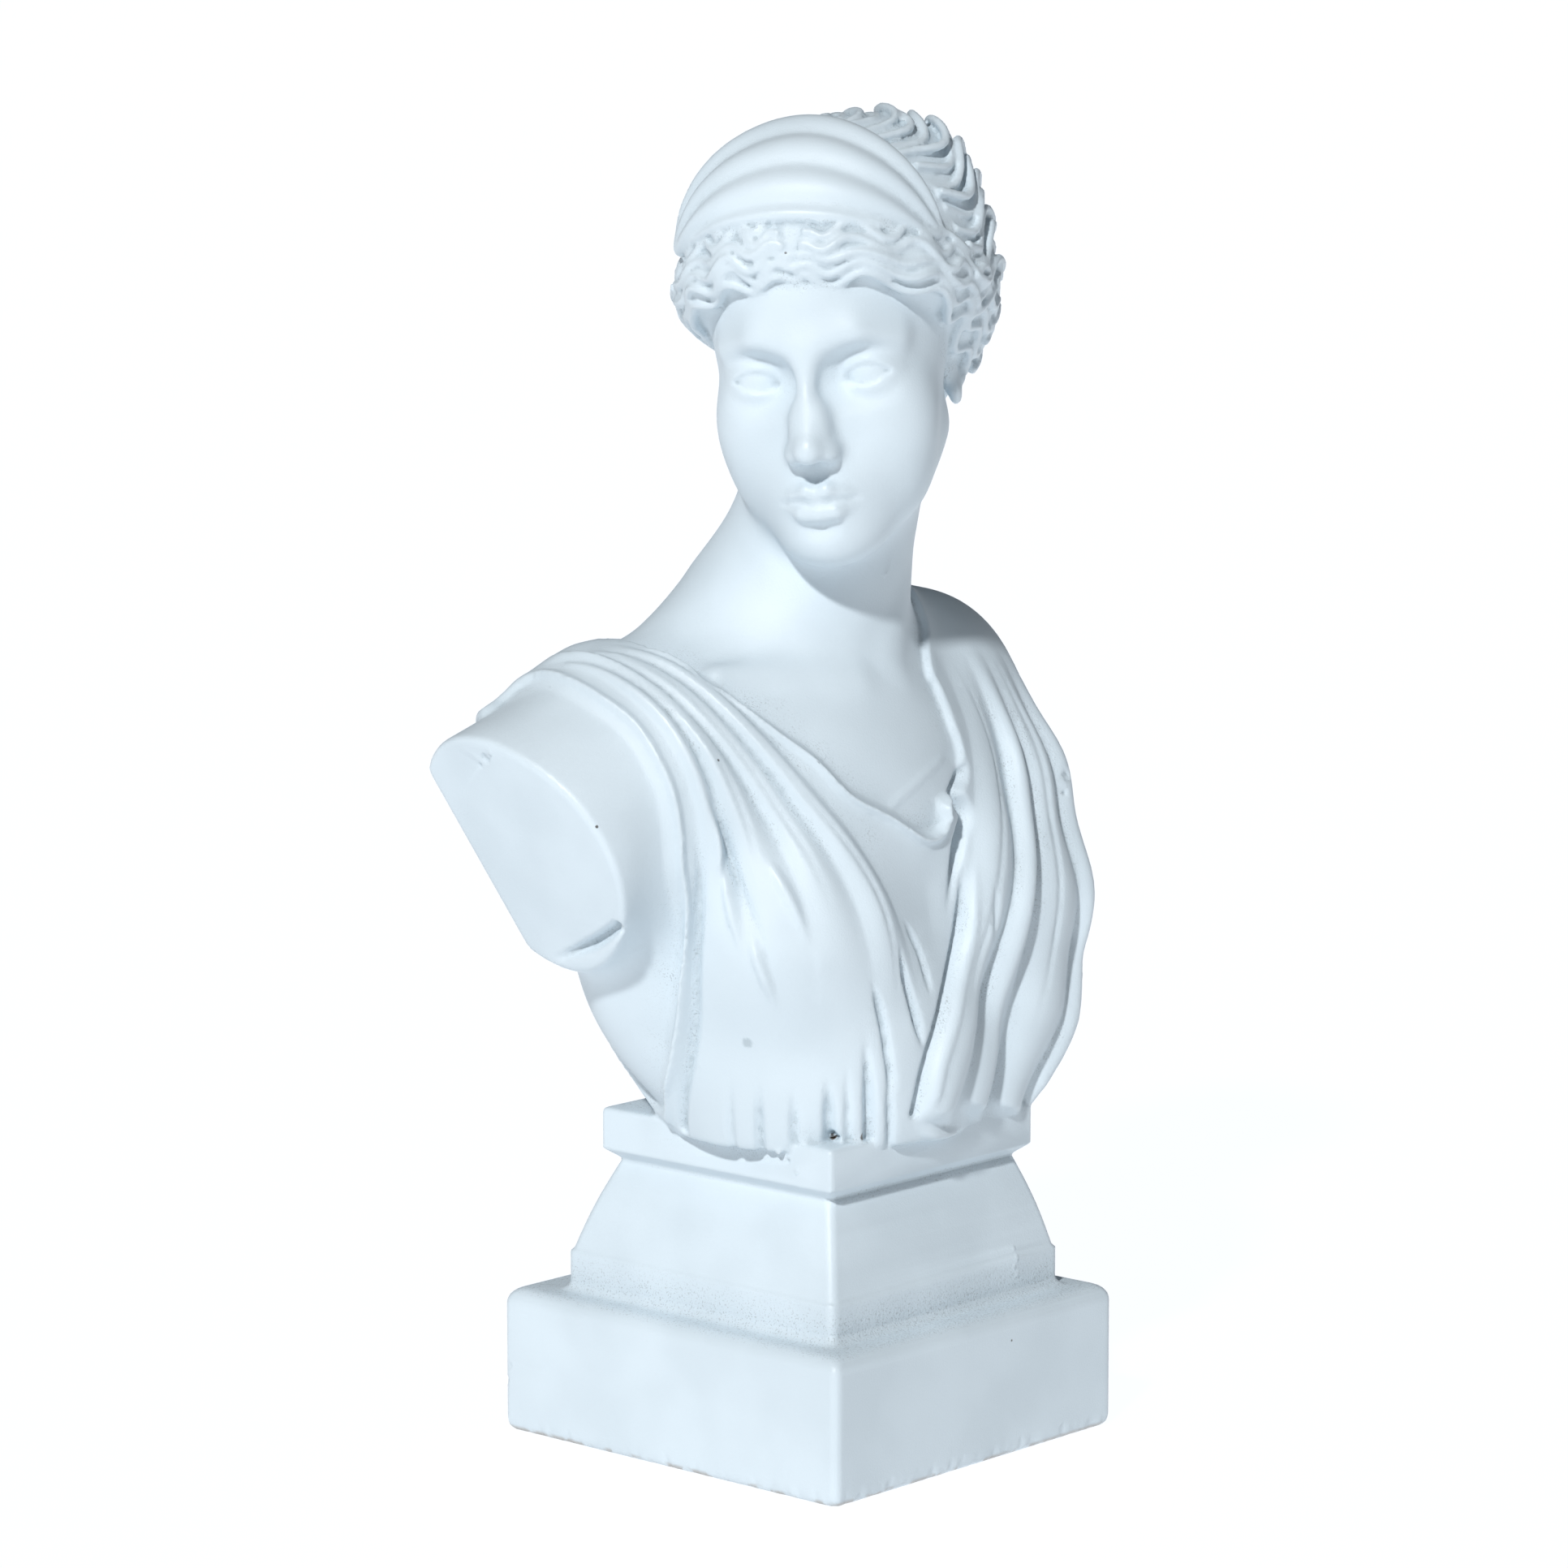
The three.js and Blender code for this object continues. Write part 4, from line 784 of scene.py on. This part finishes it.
# Geometry nodes sweep a fluted section along each lock's path.
def lockTree():
    tree = bpy.data.node_groups.new("hairLocks", "GeometryNodeTree")
    for name, kind in (("Paths", "Geometry"), ("Lock radius", "Float"), ("Section points", "Int"),
                       ("Flutes", "Float"), ("Flute depth", "Float"), ("Plaster", "Material")):
        tree.interface.new_socket(name=name, in_out="INPUT", socket_type="NodeSocket" + kind)
    tree.interface.new_socket(name="Geometry", in_out="OUTPUT", socket_type="NodeSocketGeometry")
    given = addNode(tree, "NodeGroupInput").outputs
    ring = addNode(tree, "GeometryNodeCurvePrimitiveCircle",
                   {"Resolution": given["Section points"], "Radius": given["Lock radius"]})
    place = addNode(tree, "GeometryNodeInputPosition").outputs[0]
    axes = addNode(tree, "ShaderNodeSeparateXYZ", {0: place}).outputs
    turn = addNode(tree, "ShaderNodeMath", {0: axes["Y"], 1: axes["X"]}, operation="ARCTAN2").outputs[0]
    wave = addNode(tree, "ShaderNodeMath", {0: turn, 1: given["Flutes"]}, operation="MULTIPLY").outputs[0]
    wave = addNode(tree, "ShaderNodeMath", {0: wave}, operation="COSINE").outputs[0]
    depth = addNode(tree, "ShaderNodeMath", {0: wave, 1: given["Flute depth"]}, operation="MULTIPLY")
    shift = addNode(tree, "ShaderNodeVectorMath", {0: place, "Scale": depth.outputs[0]}, operation="SCALE")
    fluted = addNode(tree, "GeometryNodeSetPosition",
                     {"Geometry": ring.outputs["Curve"], "Offset": shift.outputs[0]})
    swept = addNode(tree, "GeometryNodeCurveToMesh",
                    {"Curve": given["Paths"], "Profile Curve": fluted.outputs[0], "Fill Caps": True})
    real = addNode(tree, "GeometryNodeRealizeInstances", {0: swept.outputs[0]})
    coated = addNode(tree, "GeometryNodeSetMaterial",
                     {"Geometry": real.outputs[0], "Material": given["Plaster"]})
    addNode(tree, "NodeGroupOutput", {0: coated.outputs[0]})
    return tree


def sweptLocks(plaster):
    curve = bpy.data.curves.new("lockPaths", "CURVE")
    curve.dimensions = "3D"
    for p, radius in frontLocks() + crownLocks() + knotLocks():
        placed = inMetres(p @ fromHead[:3, :3].T + fromHead[:3, 3])
        spline = curve.splines.new("POLY")
        spline.points.add(len(p) - 1)
        spline.points.foreach_set("co", np.column_stack([placed, np.ones(len(p))]).ravel())
        spline.points.foreach_set("radius", radius)
    paths = bpy.data.objects.new("lockPaths", curve)
    bpy.context.scene.collection.objects.link(paths)
    modifier = paths.modifiers.new("locks", "NODES")
    modifier.node_group = lockTree()
    values = {"Lock radius": part / 1000, "Section points": hair["sectionPoints"],
              "Flutes": float(hair["flutes"]), "Flute depth": hair["fluteDepth"], "Plaster": plaster}
    for item in modifier.node_group.interface.items_tree:
        if item.in_out == "INPUT" and item.name in values:
            modifier[item.identifier] = values[item.name]
    return finished(paths, "hairLocks")


# Plinth: rings with rounded corners, stacked and closed at both ends
def plinthRings():
    p = plinth
    rings = [(p["baseWidth"] - 2 * p["baseWear"], p["baseDepth"] - 2 * p["baseWear"], 0, p["cornerRadius"])]

    def ring(width, depth, z, radius=p["cornerRadius"]):
        rings.append((width, depth, z, radius))
    ring(p["baseWidth"] - 0.6 * p["baseWear"], p["baseDepth"] - 0.6 * p["baseWear"], p["baseWear"] * 0.7)
    ring(p["baseWidth"], p["baseDepth"], p["baseWear"] * 2)
    for a in np.radians(np.linspace(0, 90, 9)):
        inset = 2 * p["baseEdgeRadius"] * (1 - math.cos(a))
        z = p["baseHeight"] - p["baseEdgeRadius"] * (1 - math.sin(a))
        ring(p["baseWidth"] - inset, p["baseDepth"] - inset, z)
    footTop = p["baseHeight"] + p["footHeight"]
    for a in np.radians(np.linspace(0, 90, 6)):
        flare = 2 * p["footFillet"] * (1 - math.sin(a))
        z = p["baseHeight"] + p["footFillet"] * (1 - math.cos(a))
        ring(p["footWidth"] + flare, p["footDepth"] + flare, z)
    ring(p["footWidth"], p["footDepth"], footTop)
    for t in np.linspace(0, 1, 13):
        swell = 2 * p["flareSwell"] * math.sin(math.pi * t) - (1 - t)
        ring(p["footWidth"] + (p["neckWidth"] - p["footWidth"]) * t + swell,
             p["footDepth"] + (p["neckDepth"] - p["footDepth"]) * t + swell, footTop + p["flareHeight"] * t)
    width, depth = p["neckWidth"] + 2 * p["capOverhang"], p["neckDepth"] + 2 * p["capOverhang"]
    edge = p["capEdgeRadius"]
    ring(width, depth, footTop + p["flareHeight"] + p["capLip"], edge)
    for a in np.radians(np.linspace(0, 90, 5)):
        inset = 2 * edge * (1 - math.cos(a))
        ring(width - inset, depth - inset, plinthHeight - edge * (1 - math.sin(a)), edge)
    return rings


def plinthObject():
    points, cornerSteps = [], 5
    count = 4 * (cornerSteps + 1)
    rings = plinthRings()
    for width, depth, z, radius in rings:
        for i in range(count):
            quarter, k = divmod(i, cornerSteps + 1)
            a, middle = (quarter + k / cornerSteps) * math.pi / 2, (quarter + 0.5) * math.pi / 2
            x = math.copysign(width / 2 - radius, math.cos(middle)) + radius * math.cos(a)
            y = math.copysign(depth / 2 - radius, math.sin(middle)) + radius * math.sin(a)
            points.append((x / 1000, (y + (depth - width) / 2 + toMiddle) / 1000, z / 1000))
    faces = []
    for row in range(len(rings) - 1):
        for i in range(count):
            a, b = row * count + i, row * count + (i + 1) % count
            faces += [(a, b, b + count), (a, b + count, a + count)]
    top = len(points) - count
    for i in range(1, count - 1):
        faces += [(0, i + 1, i), (top, top + i, top + i + 1)]
    return meshObject("plinth", points, faces)


# A hex sRGB colour as the linear values that a node takes
def srgb(code):
    values = [int(code[i:i + 2], 16) / 255 for i in (1, 3, 5)]
    return [v / 12.92 if v <= 0.04045 else ((v + 0.055) / 1.055) ** 2.4 for v in values] + [1]


finish = {  # sizes and depths in millimetres
    "white": "#D6E3EB",
    "drift": "#CFDCE4",
    # painted shade: the colour blended into the recesses, where shade falls
    "recess": "#AFBDC5",
    "speck": "#8C9498",
    "soil": "#A39A90",
    "ior": 1.5,
    "roughness": 0.62,
    "crestRoughness": 0.42,
    "driftSize": 28,
    "patchSize": 9,
    "soilSize": 4,
    "speckSize": 0.42,
    "pitSize": 0.7,
    "unevenSize": 5,
    "unevenDepth": 0.05,
    "grainSize": 0.5,
    "grainDepth": 0.045,
    "sandSize": 0.65,
    "sandDepth": 0.16,
}


# Plaster of Paris, cast in a mould, rubbed down by hand and sealed: a cool chalky white with soft lights on
# the rubbed crests, duller in the recesses, where a bluer grey is painted in as shade, and with dust and
# grit where no rubbing reached.
def castPlaster(material, pits):
    material.use_nodes = True
    tree = material.node_tree
    tree.nodes.clear()
    place = addNode(tree, "ShaderNodeTexCoord").outputs["Object"]
    height = addNode(tree, "ShaderNodeSeparateXYZ", {0: place}).outputs["Z"]
    recess = addNode(tree, "ShaderNodeAttribute", attribute_name="recess").outputs["Fac"]
    hollow = addNode(tree, "ShaderNodeAttribute", attribute_name="hollow").outputs["Fac"]
    noise = {}
    for name in ("drift", "patch", "soil", "speck", "pit", "uneven", "grain", "sand"):
        noise[name] = addNode(tree, "ShaderNodeTexNoise", {
            "Vector": place, "Scale": 1000 / finish[name + "Size"], "Detail": 1.0 if name == "speck" else 2.0,
        }).outputs[0]
    footLow, footHigh = plinth["baseHeight"] / 1000, (plinth["baseHeight"] + plinth["footHeight"]) / 1000
    share = {}  # how much of each shows, from 0 at its first value to 1 at its second
    for name, value, none, full in (
        ("drift", noise["drift"], 0.35, 0.65),
        # painted shade: how far the recesses are darkened towards the recess colour
        ("paintedRecessShade", recess, 0.1, 0.8),
        ("patchy", noise["patch"], 0.42, 0.62),
        ("speckled", noise["speck"], 0.6, 0.66),
        ("sheltered", hollow, 0.015, 0.16),
        ("footUp", height, footLow - 0.0015, footLow),
        ("footDown", height, footHigh + 0.002, footLow + 0.003),
        ("ground", height, 0.0016, 0.0003),
        ("soiled", noise["soil"], 0.42, 0.58),
    ):
        share[name] = addNode(tree, "ShaderNodeMapRange", {
            "Value": value, "From Min": none, "From Max": full,
        }, interpolation_type="SMOOTHSTEP").outputs[0]
    for name, operation, a, b in (  # what is worked out from those
        ("patches", "MULTIPLY", "patchy", 0.7),
        ("patches", "ADD", "patches", 0.3),
        ("sheltered", "MULTIPLY", "sheltered", "patches"),
        ("onFoot", "MULTIPLY", "footUp", "footDown"),
        ("onFoot", "MULTIPLY", "onFoot", 0.9),
        ("gritty", "MAXIMUM", "sheltered", "onFoot"),
        ("dusty", "MULTIPLY", "speckled", "gritty"),
        ("soiled", "MULTIPLY", "ground", "soiled"),
    ):
        share[name] = addNode(tree, "ShaderNodeMath", {0: share[a], 1: share.get(b, b)},
                              operation=operation).outputs[0]
    layers = [
        (share["drift"], 1, finish["drift"]),
        # painted shade in the recesses
        (share["paintedRecessShade"], 0.7, finish["recess"]),
        (share["dusty"], 0.45, finish["speck"]),
        (share["soiled"], 0.7, finish["soil"]),
    ]
    # painted shade: dark spots laid over the pinholes, the hem knock and the hem groove
    for spot, reach, shade in pits:
        gap = addNode(tree, "ShaderNodeVectorMath", {0: place, 1: spot}, operation="DISTANCE")
        rough = addNode(tree, "ShaderNodeMath", {0: noise["pit"], 1: reach * 0.8}, operation="MULTIPLY")
        rim = addNode(tree, "ShaderNodeMath", {0: gap.outputs["Value"], 1: rough.outputs[0]}, operation="ADD")
        inside = addNode(tree, "ShaderNodeMapRange", {
            "Value": rim.outputs[0], "From Min": reach * 1.7, "From Max": reach,
        }, interpolation_type="SMOOTHSTEP")
        layers.append((inside.outputs[0], 1, shade))
    colour = srgb(finish["white"])
    for amount, strength, shade in layers:
        amount = addNode(tree, "ShaderNodeMath", {0: amount, 1: strength}, operation="MULTIPLY").outputs[0]
        colour = addNode(tree, "ShaderNodeMix", {"Factor": amount, 6: colour, 7: srgb(shade)},
                         data_type="RGBA").outputs[2]
    roughness = addNode(tree, "ShaderNodeMapRange", {
        "Value": recess, "From Min": -0.5, "From Max": 0.3,
        "To Min": finish["crestRoughness"], "To Max": finish["roughness"],
    }, interpolation_type="SMOOTHSTEP")
    uneven = addNode(tree, "ShaderNodeBump", {
        "Height": noise["uneven"], "Strength": 1.0, "Distance": finish["unevenDepth"] / 1000,
    })
    grain = addNode(tree, "ShaderNodeBump", {
        "Height": noise["grain"], "Strength": 1.0, "Distance": finish["grainDepth"] / 1000,
        "Normal": uneven.outputs[0],
    })
    grit = addNode(tree, "ShaderNodeMath", {0: noise["sand"], 1: share["gritty"]}, operation="MULTIPLY")
    sand = addNode(tree, "ShaderNodeBump", {
        "Height": grit.outputs[0], "Strength": 1.0, "Distance": finish["sandDepth"] / 1000,
        "Normal": grain.outputs[0],
    })
    shader = addNode(tree, "ShaderNodeBsdfPrincipled", {
        "Base Color": colour, "Roughness": roughness.outputs[0], "IOR": finish["ior"],
        "Normal": sand.outputs[0],
    })
    addNode(tree, "ShaderNodeOutputMaterial", {"Surface": shader.outputs[0]})


def arrays(mesh):
    co = np.empty(len(mesh.vertices) * 3, np.float32)
    mesh.vertices.foreach_get("co", co)
    normals = np.empty(len(mesh.vertices) * 3, np.float32)
    mesh.vertex_normals.foreach_get("vector", normals)
    edges = np.empty(len(mesh.edges) * 2, np.int32)
    mesh.edges.foreach_get("vertices", edges)
    return co.reshape(-1, 3).astype(float), normals.reshape(-1, 3).astype(float), edges.reshape(-1, 2)


def spread(values, edges, rounds):
    first, second = edges.T
    count = np.bincount(edges.ravel(), minlength=len(values))
    for _ in range(rounds):
        total = np.bincount(first, values[second], len(values))
        total = total + np.bincount(second, values[first], len(values))
        values = 0.5 * values + 0.5 * total / count
    return values


casting = {  # millimetres
    "voxel": 0.55,
    "triangles": 190000,
    "edgeWear": 0.55,
    "wornBelow": 4,
    "recessGain": 1.6,
    "hollowRounds": 24,  # of spreading, from a recess to the hollow round it
    "faceDust": 0.3,  # share of the hollows that counts on the face, which was rubbed clean
}
# Knocks and runs of plaster: where they are seen (right and up, in parts), reach and depth in millimetres;
# a depth below zero stands out.
knocks = [
    ((-74.7, 4.4), 1.5, 0.6), ((-73.7, 5.8), 0.9, -0.45), ((-75.8, 2.8), 0.9, 0.5),
    ((55.9, 0.6), 1.9, 0.8), ((55.2, -3.2), 1.2, 0.5), ((3.1, -80.8), 2.4, 2.2),
    ((-8.8, -83.6), 1.1, -0.6), ((-6.9, -86), 0.9, 0.6), ((-4.8, -88.2), 1, -0.5),
    ((43.8, -105.2), 0.8, -0.3), ((44.5, -107.4), 0.9, -0.35), ((44, -109.4), 0.8, -0.3),
    ((44.6, -111.4), 0.8, -0.3), ((-69.3, -131.5), 1.2, 0.45), ((-69.6, -135), 1.1, 0.4),
    ((14.9, 45.6), 0.75, -0.45), ((60.5, -96.8), 1.8, 0.5),
]
# Painted shade: each spot darkens the colour where the insides of the pinholes, of the knock in the hem and
# of a hem groove lie in shade; the largest, pale grey one is a faint mark.
pinholes = [  # where they are seen, radius in millimetres, and the shade inside
    ((-49.7, -10.9), 0.35, "#5E5F5E"), ((-22.4, 4), 0.3, "#6E7173"), ((-7.3, 117.8), 0.28, "#747779"),
    ((43.4, -126.1), 0.28, "#6E7173"), ((3.3, -80.6), 1.0, "#4A3F36"), ((-15.9, -59.4), 1.2, "#B4C2CA"),
    ((9.8, -80.4), 0.8, "#6F6862"),
]


# Where a sight line from the camera meets an object, and the way its skin faces there
def sighted(thing, place):
    right, up = place
    aim = drawnFrom["middle"] + right * drawnFrom["right"] + up * drawnFrom["up"]
    start = inMetres(drawnFrom["eye"])
    _, at, facing, _ = thing.ray_cast(Vector(start), Vector(inMetres(aim) - start).normalized())
    return np.array(at), np.array(facing)


# Knocks where they are seen, and a ragged lower edge
def weather(thing):
    co, normals, _ = arrays(thing.data)
    for place, reach, depth in knocks:
        at, facing = sighted(thing, place)
        gap = np.linalg.norm(co - at, axis=1) * 1000 / reach
        near = gap < 1
        ragged = 1 + 0.5 * np.sin(co[near] @ np.array([3900, 2700, 4600]))
        co[near] -= facing * ((1 - gap[near] ** 2) ** 1.5 * depth / 1000 * ragged)[:, None]
    low = co[:, 2] < casting["wornBelow"] / 1000
    x, y, z = co[low].T * 1000
    bites = np.sin(0.9 * x + 2 * np.sin(0.31 * y)) * np.sin(0.8 * y + 1.7 * np.sin(0.37 * x))
    ragged = np.maximum(bites, 0) + 0.2 * np.sin(2.1 * (x + y))
    worn = ragged * (1 - z / casting["wornBelow"]) * casting["edgeWear"] / 1000
    co[low] -= normals[low] * (1, 1, 0) * worn[:, None]
    thing.data.vertices.foreach_set("co", co.astype(np.float32).ravel())
    thing.data.update()


# Joins the pieces into the last one and makes one closed skin of them
def oneCasting(pieces):
    bpy.ops.object.select_all(action="DESELECT")
    for thing in pieces:
        thing.data.materials.clear()
        thing.select_set(True)
    bpy.context.view_layer.objects.active = pieces[-1]
    bpy.ops.object.join()
    remesh = pieces[-1].modifiers.new("oneCasting", "REMESH")
    remesh.mode = "VOXEL"
    remesh.voxel_size = casting["voxel"] / 1000
    return finished(pieces[-1], "casting")


# Keeps the largest shell only: thinning the hair can leave specks behind.
def dropSpecks(thing):
    _, _, edges = arrays(thing.data)
    first, second = edges.T
    shell, before = np.arange(len(thing.data.vertices)), None
    while not np.array_equal(shell, before):  # each point takes the lowest number that it is joined to
        before, shell = shell, shell.copy()
        np.minimum.at(shell, first, before[second])
        np.minimum.at(shell, second, before[first])
        shell = shell[shell]
    largest = np.bincount(shell).argmax()
    mesh = bmesh.new()
    mesh.from_mesh(thing.data)
    bmesh.ops.delete(mesh, geom=[v for v in mesh.verts if shell[v.index] != largest], context="VERTS")
    mesh.to_mesh(thing.data)
    mesh.free()


# Marks on each point how far it lies in a recess and in a wider hollow; the plaster's nodes read both:
# the recess sets the gloss and paints shade into the colour, and the hollow gathers the grit.
def markRecesses(thing):
    co, normals, edges = arrays(thing.data)
    first, second = edges.T
    along, swing = co[second] - co[first], normals[second] - normals[first]
    lean = np.einsum("ij,ij->i", along, swing)
    lean /= np.einsum("ij,ij->i", along, along) + 1e-12
    bend = np.bincount(first, lean, len(co)) + np.bincount(second, lean, len(co))
    bend = spread(-bend / np.bincount(edges.ravel(), minlength=len(co)), edges, 2) / 1000
    recess = bend * casting["recessGain"]  # per millimetre, above zero in a recess
    hollow = spread(np.clip(recess, -0.5, 1), edges, casting["hollowRounds"])
    _, y, z = ((co * 1000 - (0, toMiddle, plinthHeight)) / part @ toHead[:3, :3].T + toHead[:3, 3]).T
    hollow[(y < -8) & (z < 20) & (z > -45)] *= casting["faceDust"]
    for name, values in (("recess", recess), ("hollow", hollow)):
        attribute = thing.data.attributes.new(name, "FLOAT", "POINT")
        attribute.data.foreach_set("value", np.clip(values, -1, 1).astype(np.float32))


plaster = bpy.data.materials.new("castPlasterSealed")
print("figure: working out the skin")
points, quads = skinOf(*sampled(figureForm, figure["lowest"], figure["highest"], figure["step"]))
print("figure:", len(points), "points; draping")
skin = meshObject("skin", inMetres(drape(points)), quads)
print("locks and plinth")
statue = oneCasting([sweptLocks(plaster), plinthObject(), skin])
print("casting:", len(statue.data.vertices), "points; wear")
bpy.context.view_layer.update()
weather(statue)
thin = statue.modifiers.new("thin", "DECIMATE")
thin.ratio = min(1, casting["triangles"] / (2 * len(statue.data.polygons)))
statue = finished(statue, "bustInPlaster")
dropSpecks(statue)
bpy.context.view_layer.update()
print("plaster:", len(statue.data.polygons), "faces")
castPlaster(plaster, [(sighted(statue, place)[0], reach / 1000, shade) for place, reach, shade in pinholes])
markRecesses(statue)
statue.data.shade_smooth()
statue.data.materials.clear()
statue.data.materials.append(plaster)
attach(statue, "root")
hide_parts("bust")

print("camera and lights")
camera = bpy.data.objects.new("camera", bpy.data.cameras.new("camera"))
bpy.context.scene.collection.objects.link(camera)
bpy.context.scene.camera = camera
back, right = Vector(drawnFrom["back"]), Vector(drawnFrom["right"])
camera.location = (Vector(view["target"]) + back * view["distance"]) / 1000
camera.rotation_mode = "QUATERNION"
camera.rotation_quaternion = (-back).to_track_quat("-Z", "Y")
camera.data.sensor_width = view["sensorWidth"]
camera.data.lens = view["sensorWidth"] * view["focalPixels"] / view["imageSize"]
camera.data.shift_x = view["shiftPixels"][0] / view["imageSize"]
camera.data.shift_y = view["shiftPixels"][1] / view["imageSize"]
camera.data.clip_start, camera.data.clip_end = 0.05, 900

studio = {  # directions are seen from the camera: right, up, towards it
    "keyDirection": (-0.3, 0.6, 1.0),
    "keyStrength": 2.7,
    "keyAngle": 4,  # degrees
    "fillDirection": (1.1, 0.35, 0.8),
    "fillDistance": 1.6,  # metres
    "fillSize": 1.4,
    "fillPower": 0.4,
    "aim": (0, 0, 0.16),  # metres: what both lights point at
    "skyColour": "#F7FAFF",
    "skyStrength": 0.07,
    "floorReach": 400,  # metres
    "floorColour": "#2A2C2E",
    "floorRoughness": 0.9,
    "floorGlow": "#F8FBFF",
    "floorStrength": 1.03,
}


def light(name, kind, direction, distance=2.0):
    lamp = bpy.data.objects.new(name, bpy.data.lights.new(name, kind))
    bpy.context.scene.collection.objects.link(lamp)
    axis = (right * direction[0] + back.cross(right) * direction[1] + back * direction[2]).normalized()
    lamp.location = Vector(studio["aim"]) + axis * distance
    lamp.rotation_mode = "QUATERNION"
    lamp.rotation_quaternion = axis.to_track_quat("Z", "Y")
    return lamp.data


key = light("key", "SUN", studio["keyDirection"])
key.energy, key.angle = studio["keyStrength"], math.radians(studio["keyAngle"])
fill = light("fill", "AREA", studio["fillDirection"], studio["fillDistance"])
fill.shape, fill.size, fill.energy = "DISK", studio["fillSize"], studio["fillPower"]
world = bpy.data.worlds.new("studio")
bpy.context.scene.world = world
world.use_nodes = True
sky = world.node_tree.nodes["Background"]
sky.inputs["Color"].default_value = srgb(studio["skyColour"])
sky.inputs["Strength"].default_value = studio["skyStrength"]

r = studio["floorReach"]
floor = meshObject("floor", [(-r, -r, 0), (r, -r, 0), (r, r, 0), (-r, r, 0)], [(0, 1, 2, 3)])
# Matt photographer's paper with a light of its own: it stays an even white, and shadows hardly show on it.
paper = bpy.data.materials.new("palePaper")
paper.use_nodes = True
shader = paper.node_tree.nodes["Principled BSDF"]
shader.inputs["Base Color"].default_value = srgb(studio["floorColour"])
shader.inputs["Roughness"].default_value = studio["floorRoughness"]
shader.inputs["Emission Color"].default_value = srgb(studio["floorGlow"])
shader.inputs["Emission Strength"].default_value = studio["floorStrength"]
floor.data.materials.append(paper)
bpy.context.scene.view_settings.view_transform = "Standard"
